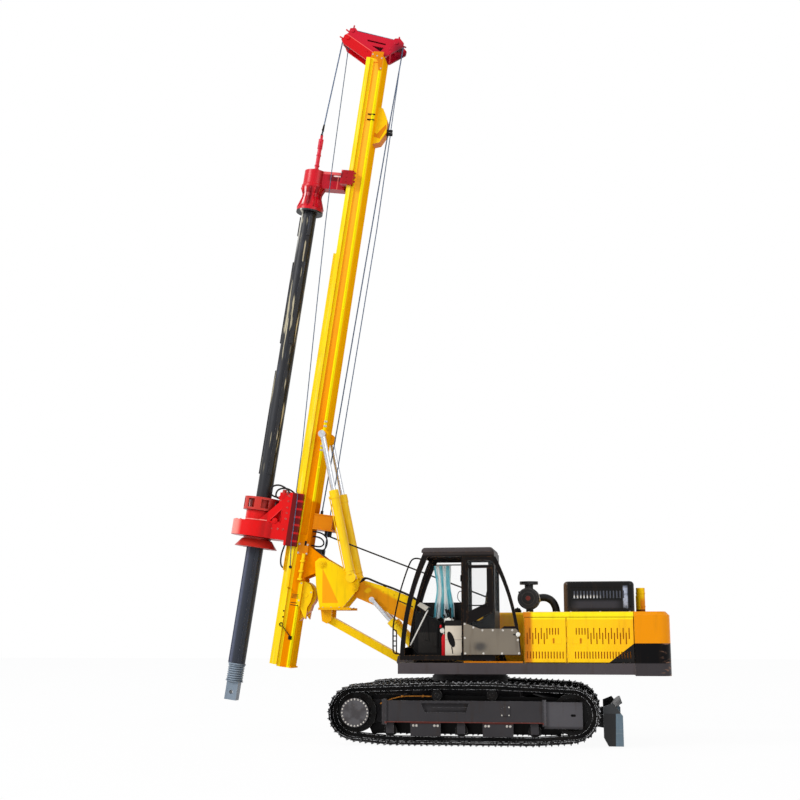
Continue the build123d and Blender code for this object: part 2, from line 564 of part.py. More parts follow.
hood_top = block(HOOD_REAR_X, HOOD_FRONT_X, -HOOD_HALF_WIDTH, HOOD_HALF_WIDTH, HOOD_LIP_Z,
                 HOOD_TOP_Z)
long_edges = hood_top.edges().filter_by(Axis.X).group_by(Axis.Z)[-1]
hood_top = fillet(long_edges, 55)
hood_top -= block(HOOD_REAR_X + 1, HOOD_FRONT_X - 1, -HOOD_HALF_WIDTH + PANEL,
                  HOOD_HALF_WIDTH - PANEL, HOOD_LIP_Z - 1, HOOD_TOP_Z - PANEL)
hood_top -= block(COVER_REAR_X + 250, COVER_FRONT_X - 120, -COVER_HALF_WIDTH + 120,
                  COVER_HALF_WIDTH - 120, HOOD_TOP_Z - PANEL - 1, HOOD_TOP_Z + 1)
save("hood_top", hood_top)

inner_y = HOOD_HALF_WIDTH - PANEL - SEAT_GAP
hood_frame = block(HOOD_FRONT_X - PANEL, HOOD_FRONT_X - 2, -inner_y, inner_y, DECK_TOP_Z,
                   HOOD_TOP_Z - PANEL)
hood_frame_rear = block(HOOD_REAR_X + 2, HOOD_REAR_X + PANEL, -inner_y, inner_y, DECK_TOP_Z,
                        HOOD_TOP_Z - PANEL)
split_posts = both_sides(block(HOOD_SPLIT_X - 30, HOOD_SPLIT_X + 30, inner_y - 50, inner_y,
                               DECK_TOP_Z, HOOD_TOP_Z - PANEL))
REST_POST_X, REST_POST_Y, REST_POST_TOP_Z = HOOD_FRONT_X + 560, -375.0, 2860.0
rest_post = block(REST_POST_X - 45, REST_POST_X + 45, REST_POST_Y - 45, REST_POST_Y + 45,
                  DECK_TOP_Z, REST_POST_TOP_Z)
save("hood_frame", hood_frame, hood_frame_rear, split_posts, rest_post)
ENGINE_HALF_WIDTH, ENGINE_TOP_Z = 420.0, HOOD_TOP_Z - 130.0
save("engine_block", block(HOOD_REAR_X + 200, HOOD_FRONT_X - 285, -ENGINE_HALF_WIDTH,
                           ENGINE_HALF_WIDTH, DECK_TOP_Z, ENGINE_TOP_Z))

cover = block(COVER_REAR_X, COVER_FRONT_X, -COVER_HALF_WIDTH, COVER_HALF_WIDTH,
              HOOD_TOP_Z + SEAT_GAP, COVER_TOP_Z)
upright = cover.edges().filter_by(Axis.Z)
cover = fillet(upright, 90)
cover = fillet(cover.faces().sort_by(Axis.Z)[-1].edges(), 60)
cavity = block(COVER_REAR_X + 30, COVER_FRONT_X - 30, -COVER_HALF_WIDTH + 30,
               COVER_HALF_WIDTH - 30, HOOD_TOP_Z, COVER_TOP_Z - 30)
cavity = fillet(cavity.edges().filter_by(Axis.Z), 62)
cover -= cavity
COVER_SLOTS = 16
slot_span = COVER_FRONT_X - COVER_REAR_X - 340
slot_z = (COVER_TOP_Z - 270, COVER_TOP_Z - 150)
for k in range(COVER_SLOTS):
    x = COVER_FRONT_X - 170 - k * slot_span / (COVER_SLOTS - 1)
    cover -= block(x - 12, x + 12, -COVER_HALF_WIDTH - 1, COVER_HALF_WIDTH + 1, *slot_z)
# Hinges along the cover's right-hand foot
cover_hinge_y, cover_hinge_z = -COVER_HALF_WIDTH - HINGE_RADIUS - 1, HOOD_TOP_Z + 10
for share in (0.2, 0.5, 0.8):
    x = COVER_FRONT_X + share * (COVER_REAR_X - COVER_FRONT_X)
    cover += bar((x - 40, cover_hinge_y, cover_hinge_z), (x + 40, cover_hinge_y, cover_hinge_z),
                 HINGE_RADIUS)
    cover += block(x - 40, x + 40, cover_hinge_y, -COVER_HALF_WIDTH + 1, cover_hinge_z - 4,
                   cover_hinge_z + 40)
save("engine_cover", cover)

EXHAUST_X, EXHAUST_Y, EXHAUST_RADIUS = WEIGHT_REAR_X + 400, 300.0, 70.0
EXHAUST_TOP_Z = COVER_TOP_Z - 95
exhaust = post(EXHAUST_X, EXHAUST_Y, HOOD_TOP_Z, EXHAUST_TOP_Z, EXHAUST_RADIUS)
exhaust -= post(EXHAUST_X, EXHAUST_Y, HOOD_TOP_Z + 30, EXHAUST_TOP_Z + 1, EXHAUST_RADIUS - 10)
exhaust += post(EXHAUST_X, EXHAUST_Y, HOOD_TOP_Z, HOOD_TOP_Z + 15, EXHAUST_RADIUS + 30)
save("exhaust_stack", exhaust)

AIR_X, AIR_Z, AIR_RADIUS = HOOD_FRONT_X - 45, HOOD_TOP_Z + 230, 170.0
AIR_Y = (90.0, 620.0)
CAP_Y, CAP_RADIUS = AIR_Y[0] + 210, 150.0
cap_z = AIR_Z + AIR_RADIUS + 60
air_cleaner = pin((AIR_X, AIR_Z), *AIR_Y, AIR_RADIUS)
air_cleaner += post(AIR_X, CAP_Y, AIR_Z, cap_z, 70)
air_cleaner += post(AIR_X, CAP_Y, cap_z, cap_z + 50, CAP_RADIUS)
for y in (CAP_Y - 80, CAP_Y + 200):
    air_cleaner += block(AIR_X - 60, AIR_X + 40, y - 20, y + 20, HOOD_TOP_Z, AIR_Z)
save("air_cleaner", air_cleaner)
HOSE_Y, HOSE_RADIUS = CAP_Y + 120, 62.0
hose_bend = (AIR_X - 330, HOSE_Y, AIR_Z - 20)
intake = bar((AIR_X - 60, HOSE_Y, AIR_Z), hose_bend, HOSE_RADIUS)
intake += Pos(*hose_bend) * Sphere(HOSE_RADIUS)
intake += bar(hose_bend, (AIR_X - 440, HOSE_Y, HOOD_TOP_Z - 19), HOSE_RADIUS)
intake -= pin((AIR_X, AIR_Z), AIR_Y[0] - 90, AIR_Y[1] + 80, AIR_RADIUS + SEAT_GAP)
intake -= block(AIR_X - 900, AIR_X, 0, 2 * HOSE_Y, HOOD_TOP_Z - 200, HOOD_TOP_Z)
save("intake_hose", intake)

# Tanks along the right-hand side, and the winch between them and the cab
TANK_INNER_Y = 480.0
tanks = []
for x0, x1, top in ((HOOD_FRONT_X + 25, -10, HOOD_TOP_Z + 30),
                    (10, DECK_FRONT_X - 60, HOOD_TOP_Z - 130)):
    tank = block(x0, x1, -HOOD_HALF_WIDTH, -TANK_INNER_Y, DECK_TOP_Z, top)
    tanks.append(fillet(tank.edges().filter_by(Axis.X).group_by(Axis.Z)[-1], 50))
save("side_tanks", *tanks)

WINCH_X, WINCH_Z = -330.0, 1560.0
CHEEK_Y = (230.0, 265.0)
flange_y = CHEEK_Y[0] - 5
drum = pin((WINCH_X, WINCH_Z), -flange_y + 10, flange_y - 10, 150)
for side in (-1, 1):
    drum += pin((WINCH_X, WINCH_Z), side * (flange_y - 30), side * flange_y, 240)
drum += pin((WINCH_X, WINCH_Z), -CHEEK_Y[0] + SEAT_GAP, CHEEK_Y[0] - SEAT_GAP, 60)
cheek = plate([(WINCH_X - 260, DECK_TOP_Z), (WINCH_X - 120, WINCH_Z + 130),
               (WINCH_X + 120, WINCH_Z + 130), (WINCH_X + 260, DECK_TOP_Z)], *CHEEK_Y)
save("main_winch", both_sides(cheek), drum)

# ---------------------------------------------------------------- cab
ARC_BULGE = 85.0


def cab_outline(inset):
    """The cab's side outline as a face at Y = 0, shrunk inwards by inset."""
    bottom, top = CAB_FLOOR_Z + inset, CAB_EAVES_Z - inset
    rear = CAB_REAR_X + inset
    front_low = (CAB_FRONT_X - inset, 0, bottom)
    front_high = (CAB_FRONT_TOP_X - inset * 0.9, 0, top)
    middle = ((front_low[0] + front_high[0]) / 2 + ARC_BULGE, 0, (bottom + top) / 2)
    arc = ThreePointArc(front_low, middle, front_high)
    rest = Polyline(front_high, (rear, 0, top), (rear, 0, bottom), front_low)
    return make_face([arc] + rest.edges())


def cab_prism(inset, y0, y1):
    """The cab's side outline, shrunk by inset, from y0 to y1."""
    return Pos(0, y1, 0) * extrude(cab_outline(inset), amount=y1 - y0, dir=(0, -1, 0))


PILLAR = 75.0
door_front_region = block(DOOR_AXIS_X + DOOR_EDGE - RUN_GAP, CAB_FRONT_X + 1,
                          CAB_OUTER_Y - CAB_WALL - 1, CAB_OUTER_Y + 1, CAB_FLOOR_Z, CAB_EAVES_Z)
shell = cab_prism(0, CAB_INNER_Y, CAB_OUTER_Y)
shell -= cab_prism(CAB_WALL, CAB_INNER_Y + CAB_WALL, CAB_OUTER_Y - CAB_WALL)
doorway = cab_prism(PILLAR, CAB_OUTER_Y - CAB_WALL - 1, CAB_OUTER_Y + 1) & door_front_region
shell -= doorway
# Windows front and rear: (x0, x1, y0, y1, z0, z1) of the box that cuts each one
front_window = (CAB_FRONT_TOP_X - 190, CAB_FRONT_X + 230, CAB_INNER_Y + 70, CAB_OUTER_Y - 70,
                CAB_FLOOR_Z + 190, CAB_EAVES_Z - 85)
rear_window = (CAB_REAR_X - 170, CAB_REAR_X + 130, CAB_INNER_Y + 90, CAB_OUTER_Y - 90,
               CAB_FLOOR_Z + 760, CAB_EAVES_Z - 105)
for window_box in (front_window, rear_window):
    shell -= block(*window_box)
quarter = [(DOOR_AXIS_X - 100, CAB_EAVES_Z - 105), (CAB_REAR_X + 100, CAB_EAVES_Z - 105),
           (CAB_REAR_X + 60, CAB_FLOOR_Z + 720), (DOOR_AXIS_X - 100, CAB_FLOOR_Z + 510)]
shell -= plate(quarter, CAB_OUTER_Y - CAB_WALL - 1, CAB_OUTER_Y + 1)
far_window = cab_prism(110, CAB_INNER_Y - 1, CAB_INNER_Y + CAB_WALL + 1)
far_window &= block(CAB_REAR_X, CAB_FRONT_X, 0, CAB_OUTER_Y, CAB_FLOOR_Z + 610, CAB_EAVES_Z - 95)
far_window -= block(DOOR_AXIS_X - 60, DOOR_AXIS_X, 0, CAB_OUTER_Y, CAB_FLOOR_Z, CAB_TOP_Z)
shell -= far_window
shell -= block(CAB_REAR_X + 130, CAB_FRONT_TOP_X + 10, CAB_INNER_Y + 100, CAB_OUTER_Y - 100,
               CAB_EAVES_Z - 2 * CAB_WALL, CAB_EAVES_Z + 1)
# Lugs on the centre pillar for the door's two hinges
HINGE_Z = (CAB_FLOOR_Z + 310, CAB_EAVES_Z - 365)
for z in HINGE_Z:
    for z0, z1 in ((z - 70, z - 30.3), (z + 30.3, z + 70)):
        shell += block(DOOR_AXIS_X - 12, DOOR_AXIS_X + 12, CAB_OUTER_Y - 1, DOOR_AXIS_Y + 12, z0, z1)
shell -= post(DOOR_AXIS_X, DOOR_AXIS_Y, CAB_FLOOR_Z, CAB_EAVES_Z, 5)
save("cab_shell", shell)

roof = block(CAB_REAR_X + 10, CAB_FRONT_TOP_X + 40, CAB_INNER_Y - 10, CAB_OUTER_Y + 10,
             CAB_EAVES_Z, CAB_TOP_Z)
roof = fillet(roof.edges().filter_by(Axis.Z), 70)
roof = fillet(roof.faces().sort_by(Axis.Z)[-1].edges(), 62)
roof -= block(CAB_REAR_X + 180, CAB_FRONT_TOP_X - 40, CAB_INNER_Y + 60, CAB_OUTER_Y - 60,
              CAB_EAVES_Z - 1, CAB_EAVES_Z + 40)
save("cab_roof", roof)

GLASS_INSET, GLASS = 22.0, 6.0
band = cab_prism(GLASS_INSET, CAB_INNER_Y + 70, CAB_OUTER_Y - 70)
band -= cab_prism(GLASS_INSET + GLASS, CAB_INNER_Y + 60, CAB_OUTER_Y - 60)
front_glass = band & block(*front_window)
rear_glass = block(CAB_REAR_X + GLASS_INSET, CAB_REAR_X + GLASS_INSET + GLASS, *rear_window[2:])
quarter_glass = plate(quarter, CAB_OUTER_Y - GLASS_INSET - GLASS, CAB_OUTER_Y - GLASS_INSET)
far_glass = far_window & block(CAB_REAR_X, CAB_FRONT_X, CAB_INNER_Y + GLASS_INSET,
                               CAB_INNER_Y + GLASS_INSET + GLASS, CAB_FLOOR_Z, CAB_EAVES_Z)
save("cab_glass", front_glass, rear_glass, quarter_glass, far_glass)

floor_z = CAB_FLOOR_Z + CAB_WALL
SEAT_X, SEAT_Y = -150.0, (CAB_INNER_Y + CAB_OUTER_Y) / 2
CUSHION_Z = (floor_z + 330, floor_z + 450)
seat_base = block(SEAT_X - 230, SEAT_X + 230, SEAT_Y - 210, SEAT_Y + 210, floor_z, CUSHION_Z[0])
save("seat_base", seat_base)
cushion = block(SEAT_X - 230, SEAT_X + 270, SEAT_Y - 240, SEAT_Y + 240, *CUSHION_Z)
cushion = fillet(cushion.edges().filter_by(Axis.Z), 60)
BACK_LEAN = 8.0
BACK_HEIGHT, HEADREST_HEIGHT = 640.0, 182.0
back_z = CUSHION_Z[1] + BACK_HEIGHT / 2 - 10
headrest_z = back_z + BACK_HEIGHT / 2 + 66
headrest_x = SEAT_X - 43 - 240
back = Pos(SEAT_X - 240, SEAT_Y, back_z) * Rot(0, -BACK_LEAN, 0) * Box(110, 440, BACK_HEIGHT)
back = fillet(back.edges().filter_by(Axis.Y), 30)
back -= block(SEAT_X - 500, SEAT_X + 400, CAB_INNER_Y, CAB_OUTER_Y, floor_z, CUSHION_Z[1])
headrest = Rot(0, -BACK_LEAN, 0) * Box(90, 260, HEADREST_HEIGHT)
headrest = fillet((Pos(headrest_x, SEAT_Y, headrest_z) * headrest).edges().filter_by(Axis.Y), 25)
save("seat_cushion", cushion)
save("seat_back", back, headrest)
CONSOLE_HEIGHT, LEVER_HEIGHT = 560.0, 200.0
console_top = floor_z + CONSOLE_HEIGHT
consoles = []
for y0, y1 in ((CAB_INNER_Y + CAB_WALL + 5, SEAT_Y - 250), (SEAT_Y + 250, CAB_OUTER_Y - 60)):
    consoles.append(block(SEAT_X - 150, SEAT_X + 410, y0, y1, floor_z, console_top))
consoles.append(block(CAB_FRONT_X - 410, CAB_FRONT_X - 250, CAB_INNER_Y + 130, CAB_INNER_Y + 330,
                      floor_z, console_top + 60))
lever_x = SEAT_X + 330
for y in (SEAT_Y - 345, SEAT_Y - 285, SEAT_Y + 330):
    consoles.append(post(lever_x, y, console_top, console_top + LEVER_HEIGHT, 12))
save("cab_consoles", *consoles)
RAIL_Z = CAB_EAVES_Z - 153
RAIL_RADIUS = 10.0
RAIL_Y = CAB_INNER_Y + 95
curtain = block(60, 330, RAIL_Y - 20, RAIL_Y + 20, CAB_FLOOR_Z + 640,
                RAIL_Z - RAIL_RADIUS - SEAT_GAP)
save("curtain", curtain)
curtain_rail = bar((-20, RAIL_Y, RAIL_Z), (560, RAIL_Y, RAIL_Z), RAIL_RADIUS)
curtain_rail += block(-20, 0, CAB_INNER_Y + CAB_WALL, RAIL_Y, RAIL_Z - 8, RAIL_Z + 8)
# Guard rail in front of the windscreen, from the sill up to the roof
GUARD_Y, GUARD_RADIUS = CAB_OUTER_Y - 150, 12.0
guard_path = [(CAB_FRONT_X - 10, CAB_FLOOR_Z + 40), (CAB_FRONT_X + 85, CAB_FLOOR_Z + 40),
              (CAB_FRONT_X + 85, CAB_FLOOR_Z + 510), (CAB_FRONT_X + 40, CAB_FLOOR_Z + 1060),
              (CAB_FRONT_TOP_X + 210, CAB_EAVES_Z - 65), (CAB_FRONT_TOP_X + 110, CAB_EAVES_Z + 45),
              (CAB_FRONT_TOP_X + 20, CAB_EAVES_Z + 50)]
guard_points = [(x, GUARD_Y, z) for x, z in guard_path]
rail = bar(guard_points[0], guard_points[1], GUARD_RADIUS)
for start, end in zip(guard_points[1:], guard_points[2:]):
    rail += Pos(*start) * Sphere(GUARD_RADIUS)
    rail += bar(start, end, GUARD_RADIUS)
rail -= shell
rail -= roof
save("cab_rails", rail, curtain_rail)

# Door, modelled folded back flat against the side; shut, it fills the doorway
shut_y0 = CAB_OUTER_Y - CAB_WALL + 4.0
shut_y1 = shut_y0 + DOOR_THICKNESS
door = cab_prism(PILLAR + RUN_GAP, shut_y0, shut_y1)
door &= block(DOOR_AXIS_X + DOOR_EDGE, CAB_FRONT_X, shut_y0, shut_y1, CAB_FLOOR_Z, CAB_EAVES_Z)
WINDOW_FRAME = 55.0
window = cab_prism(PILLAR + RUN_GAP + WINDOW_FRAME, shut_y0 - 1, shut_y1 + 1)
pane_rear, pane_low = DOOR_AXIS_X + DOOR_EDGE + WINDOW_FRAME, CAB_FLOOR_Z + 370
window &= plate([(pane_rear, pane_low), (420, pane_low), (640, pane_low + 150),
                 (CAB_FRONT_X, pane_low + 150), (CAB_FRONT_X, CAB_EAVES_Z),
                 (pane_rear, CAB_EAVES_Z)], shut_y0 - 1, shut_y1 + 1)
door -= window
door_pane = window & block(DOOR_AXIS_X, CAB_FRONT_X, shut_y0 + 18, shut_y0 + 24, CAB_FLOOR_Z,
                           CAB_EAVES_Z)
for z in HINGE_Z:
    # The strap stands off the cab's side where it passes the centre pillar
    door += block(DOOR_AXIS_X + DOOR_EDGE, DOOR_AXIS_X + DOOR_EDGE + 40, shut_y1 - 1,
                  DOOR_AXIS_Y + 8, z - 30, z + 30)
    door += block(DOOR_AXIS_X + 3, DOOR_AXIS_X + DOOR_EDGE + 1, CAB_OUTER_Y + 2,
                  DOOR_AXIS_Y + 8, z - 30, z + 30)
    door += post(DOOR_AXIS_X, DOOR_AXIS_Y, z - 30, z + 30, 11)
    door += post(DOOR_AXIS_X, DOOR_AXIS_Y, z - 70, z + 70, 4.7)
fold_back = Pos(DOOR_AXIS_X, DOOR_AXIS_Y, 0) * Rot(0, 0, 180) * Pos(-DOOR_AXIS_X, -DOOR_AXIS_Y, 0)
save("cab_door", fold_back * door)
save("door_glass", fold_back * door_pane)

# ---------------------------------------------------------------- boom, link, mast bracket
BRACKET_Y = (200.0, 245.0)
boom_angle = math.degrees(math.atan2(BOOM_TIP[1] - BOOM_FOOT[1], BOOM_TIP[0] - BOOM_FOOT[0]))
boom_length = math.dist(BOOM_FOOT, BOOM_TIP)
# Depth of the boom along its length: (share of the length, above the pin line, below it)
BOOM_SECTIONS = ((0.0, 100, 100), (0.20, 280, 110), (0.36, 305, 95), (0.48, 296, 90),
                 (0.75, 250, 100), (0.95, 190, 130), (1.0, 95, 95))
upper = [(s * boom_length, top) for s, top, low in BOOM_SECTIONS]
lower = [(s * boom_length, -low) for s, top, low in reversed(BOOM_SECTIONS)]
boom = plate(upper + lower, -BOOM_HALF_WIDTH, BOOM_HALF_WIDTH)
boom += pin((0, 0), -BOOM_HALF_WIDTH, BOOM_HALF_WIDTH, 110)
boom += pin((boom_length, 0), -BOOM_HALF_WIDTH, BOOM_HALF_WIDTH, 100)
boom += pin((boom_length, 0), -BRACKET_Y[0] + SEAT_GAP, BRACKET_Y[0] - SEAT_GAP, 60)
boom = Pos(BOOM_FOOT[0], 0, BOOM_FOOT[1]) * Rot(0, -boom_angle, 0) * boom
boom += pin(BOOM_FOOT, -FOOT_PLATE_Y[0] + SEAT_GAP, FOOT_PLATE_Y[0] - SEAT_GAP, 80)
save("boom", boom)

LINK_HALF = 120.0
LINK_DEPTH_HALF = 62.0
link = plate([(-10, LINK_DEPTH_HALF), (boom_length, LINK_DEPTH_HALF),
              (boom_length, -LINK_DEPTH_HALF), (-10, -LINK_DEPTH_HALF)], -LINK_HALF, LINK_HALF)
link += pin((0, 0), -LINK_HALF, LINK_HALF, 80)
link += pin((boom_length, 0), -LINK_HALF, LINK_HALF, 70)
link += pin((0, 0), -FOOT_PLATE_Y[0] + SEAT_GAP, FOOT_PLATE_Y[0] - SEAT_GAP, 45)
link = Pos(LINK_FOOT[0], 0, LINK_FOOT[1]) * Rot(0, -boom_angle, 0) * link
save("lower_link", link)

pivot_x, pivot_z = MAST_PIVOT
tip_x, tip_z = BOOM_TIP
end_x, end_z = LINK_TIP
flange_z = end_z + 142
bracket_outline = [(pivot_x - 42, pivot_z + 98), (pivot_x + 48, pivot_z + 98),
                   (pivot_x + 118, pivot_z + 33), (pivot_x + 98, pivot_z - 357),
                   (end_x + 111, flange_z), (end_x - 249, flange_z), (tip_x - 18, tip_z - 53),
                   (tip_x - 74, tip_z + 41), (tip_x - 54, tip_z + 131), (tip_x - 4, tip_z + 211),
                   (tip_x + 188, tip_z + 316)]
side_plate = plate(bracket_outline, *BRACKET_Y)
side_plate += block(end_x - 429, end_x + 126, BRACKET_Y[1] - 1, BRACKET_Y[1] + 55, flange_z,
                    flange_z + 40)
LINK_LUG_Y = (LINK_HALF + 30, LINK_HALF + 70)
lug = plate([(end_x - 89, flange_z + 1), (end_x - 79, end_z - 32), (end_x + 1, end_z - 82),
             (end_x + 81, end_z - 42), (end_x + 106, flange_z + 1)], *LINK_LUG_Y)
side_plate += block(end_x - 89, end_x + 106, LINK_LUG_Y[0], BRACKET_Y[0] + 1, flange_z,
                    flange_z + 40)
side_plate += lug
PIVOT_PIN_RADIUS = 50.0
PIVOT_LUG_Y = (BRACKET_Y[0] - 48, BRACKET_Y[0] - 8)
side_plate += pin(MAST_PIVOT, BRACKET_Y[1] - 1, BRACKET_Y[1] + 25, 1.3 * PIVOT_PIN_RADIUS)
side_plate += pin(MAST_PIVOT, PIVOT_LUG_Y[0] - 2, BRACKET_Y[0] + 1, PIVOT_PIN_RADIUS)
side_plate += pin(BOOM_TIP, BRACKET_Y[1] - 1, BRACKET_Y[1] + 20, 60)
mast_bracket = side_plate + mirror(side_plate, about=Plane.XZ)
cross_y = BRACKET_Y[1] - 1
mast_bracket += pin((tip_x + 290, tip_z + 90), -cross_y, cross_y, 55)
mast_bracket += block(end_x - 154, end_x + 51, -cross_y, cross_y, flange_z + 2, flange_z + 40)
save("mast_bracket", mast_bracket)

# ---------------------------------------------------------------- rams of boom and mast
lift_barrel, lift_rod = ram(LIFT_FOOT, LIFT_EYE, LIFT_Y, LIFT_BARREL_RADIUS, LIFT_ROD_RADIUS, 0.62,
                            60, 45, 62, LIFT_ROD_START)
lift_barrel += pin(LIFT_FOOT, FOOT_PLATE_Y[1] + SEAT_GAP, LIFT_Y, 45)
lift_rod += pin(LIFT_EYE, BOOM_HALF_WIDTH + SEAT_GAP, LIFT_Y, 40)
save("lift_barrels", both_sides(lift_barrel))
save("lift_rods", both_sides(lift_rod))
TILT_EYE_HALF = 55.0
tilt_barrel, tilt_rod = ram(TILT_FOOT, TILT_EYE, TILT_Y, TILT_BARREL_RADIUS, TILT_ROD_RADIUS, 0.58,
                            60, TILT_EYE_HALF, 85, TILT_ROD_START)
tilt_barrel += pin(TILT_FOOT, BRACKET_Y[1] + SEAT_GAP, TILT_Y, 60)
save("tilt_barrels", both_sides(tilt_barrel))
save("tilt_rods", both_sides(tilt_rod))

# ---------------------------------------------------------------- mast
mast = block(MAST_REAR_N, MAST_FRONT_N, -MAST_HALF_WIDTH, MAST_HALF_WIDTH, MAST_FOOT_U, MAST_HEAD_U)
mast = chamfer(mast.edges().filter_by(Axis.Z).group_by(Axis.X)[0], 50)
MAST_WALL = 14.0
WEB_RECESS = 25.0
mast -= block(MAST_REAR_N + MAST_WALL, MAST_FRONT_N - MAST_WALL, -MAST_HALF_WIDTH + 60,
              MAST_HALF_WIDTH - 60, MAST_FOOT_U - 1, MAST_HEAD_U + 1)
eye_n, eye_u = to_mast(TILT_EYE)
for side in (-1, 1):
    # Recess of the side web, then the lug at the pivot and the boss for the tilt ram
    mast -= block(MAST_REAR_N + 70, MAST_FRONT_N - 55, side * (MAST_HALF_WIDTH - WEB_RECESS),
                  side * (MAST_HALF_WIDTH + 1), 450, MAST_HEAD_U - 120)
    lug_front = MAST_REAR_N + 20
    lug = plate([(-90, -40), (-50, -90), (lug_front, -280), (lug_front, 280), (-50, 90),
                 (-90, 40)], side * PIVOT_LUG_Y[0], side * PIVOT_LUG_Y[1])
    lug -= pin((0, 0), side * (PIVOT_LUG_Y[0] - 11), side * (PIVOT_LUG_Y[1] + 9),
               PIVOT_PIN_RADIUS + SEAT_GAP)
    mast += lug
    mast += pin((eye_n, eye_u), side * (MAST_HALF_WIDTH - WEB_RECESS - 5),
                side * (TILT_Y - TILT_EYE_HALF - SEAT_GAP), 95)
mast += block(MAST_REAR_N - 12, MAST_FRONT_N, -MAST_HALF_WIDTH - 12, MAST_HALF_WIDTH + 12,
              MAST_FOOT_U - 25, MAST_FOOT_U)
save_on_mast("mast", mast)

rails = []
for side in (-1, 1):
    rail = block(MAST_FRONT_N, MAST_FRONT_N + RAIL_DEPTH, side * (RAIL_HALF_WIDTH - 75),
                 side * RAIL_HALF_WIDTH, MAST_FOOT_U, MAST_HEAD_U - 60)
    rail += block(MAST_FRONT_N, MAST_FRONT_N + RAIL_DEPTH + STRIP_DEPTH,
                  side * (RAIL_HALF_WIDTH - 145), side * (RAIL_HALF_WIDTH - 74),
                  MAST_FOOT_U, STRIP_TOP_U)
    rails.append(rail)
save_on_mast("mast_rails", rails)

# Cathead: two side frames, cross tubes and the sheaves that lead two ropes over the mast
CATHEAD_Y = (150.0, 185.0)
front_sheave = (KELLY_N - 243.0, MAST_HEAD_U + 331.0)
guide_sheave = (KELLY_N - 321.0, MAST_HEAD_U + 466.0)
rear_sheave = (MAST_REAR_N - 179.0, MAST_HEAD_U + 285.0)
# Cheek's outline: (n, height above the mast's head)
CATHEAD_OUTLINE = ((MAST_REAR_N - 30, 20), (MAST_FRONT_N + 1, 20), (MAST_FRONT_N + 1, -110),
                   (MAST_FRONT_N + 60, -100), (KELLY_N - 169, 221), (KELLY_N - 139, 282),
                   (KELLY_N - 175, 380), (KELLY_N - 239, 426), (KELLY_N - 264, 523),
                   (KELLY_N - 364, 529), (KELLY_N - 414, 463), (MAST_REAR_N - 116, 344),
                   (MAST_REAR_N - 142, 372), (MAST_REAR_N - 231, 378), (MAST_REAR_N - 312, 294),
                   (MAST_REAR_N - 306, 214))
CATHEAD_WINDOW = ((MAST_FRONT_N + 32, 204), (MAST_REAR_N + 38, 177), (MAST_REAR_N + 97, 100))
CATHEAD_SLOT = ((MAST_FRONT_N + 127, 318), (MAST_FRONT_N + 127, 288), (MAST_REAR_N + 18, 226),
                (MAST_REAR_N + 18, 256))
cheek = plate([(n, MAST_HEAD_U + height) for n, height in CATHEAD_OUTLINE], *CATHEAD_Y)
for outline in (CATHEAD_WINDOW, CATHEAD_SLOT):
    cheek -= plate([(n, MAST_HEAD_U + height) for n, height in outline],
                   CATHEAD_Y[0] - 1, CATHEAD_Y[1] + 1)
cathead_body = cheek + mirror(cheek, about=Plane.XZ)
cathead_body += block(MAST_REAR_N, MAST_FRONT_N, -CATHEAD_Y[1], CATHEAD_Y[1], MAST_HEAD_U,
                      MAST_HEAD_U + 30)
SHEAVE_PIN_RADIUS = 26.0
for spot in (front_sheave, guide_sheave, rear_sheave):
    cathead_body += pin(spot, -CATHEAD_Y[0] - 1, CATHEAD_Y[0] + 1, SHEAVE_PIN_RADIUS)
sheaves = []
SIDE_ROPE_Y = 75.0
SHEAVE_HALF = 22.0
GROOVE_HALF, GROOVE_DEPTH = 12.0, 15.0
# The main rope's sheaves stand at the middle, the auxiliary rope's beside them
for spot, radius, y in ((front_sheave, 125, 0), (guide_sheave, 60, SIDE_ROPE_Y),
                        (rear_sheave, 85, 0), (rear_sheave, 85, SIDE_ROPE_Y)):
    wheel = pin(spot, y - SHEAVE_HALF, y + SHEAVE_HALF, radius)
    groove = pin(spot, y - GROOVE_HALF, y + GROOVE_HALF, radius + 1)
    groove -= pin(spot, y - GROOVE_HALF - 1, y + GROOVE_HALF + 1, radius - GROOVE_DEPTH)
    wheel -= groove
    wheel -= pin(spot, y - SHEAVE_HALF - 1, y + SHEAVE_HALF + 1, SHEAVE_PIN_RADIUS + SEAT_GAP)
    sheaves.append(wheel)
save_on_mast("cathead", cathead_body)
save_on_mast("cathead_sheaves", *sheaves)

# Pulley housings on the mast's rear, the crowd winch and the rope bracket
# Upper housing: (behind the mast's rear face, below the mast's head)
TOP_HOUSING = ((0, 1650), (0, 930), (100, 960), (210, 1190), (225, 1410), (120, 1610))
housing_top = plate([(MAST_REAR_N - n, MAST_HEAD_U - u) for n, u in TOP_HOUSING], -110, 110)
LOW_SHEAVE_U, LOW_SHEAVE_RADIUS = MAST_FOOT_U + 1200, 230.0
housing_low = pin((MAST_REAR_N, LOW_SHEAVE_U), -90, 90, LOW_SHEAVE_RADIUS)
housing_low &= block(MAST_REAR_N - LOW_SHEAVE_RADIUS - 1, MAST_REAR_N, -90, 90,
                     LOW_SHEAVE_U - LOW_SHEAVE_RADIUS - 1, LOW_SHEAVE_U + LOW_SHEAVE_RADIUS + 1)
housing_low += plate([(MAST_REAR_N, LOW_SHEAVE_U - 440), (MAST_REAR_N, LOW_SHEAVE_U + 60),
                      (MAST_REAR_N - 200, LOW_SHEAVE_U), (MAST_REAR_N - 160, LOW_SHEAVE_U - 240)],
                     -90, 90)
save_on_mast("pulley_housings", housing_top, housing_low)
CROWD_DRUM = (MAST_REAR_N - 120, 60.0)
CROWD_HALF = 150.0
crowd_winch = pin(CROWD_DRUM, -CROWD_HALF, CROWD_HALF, 115)
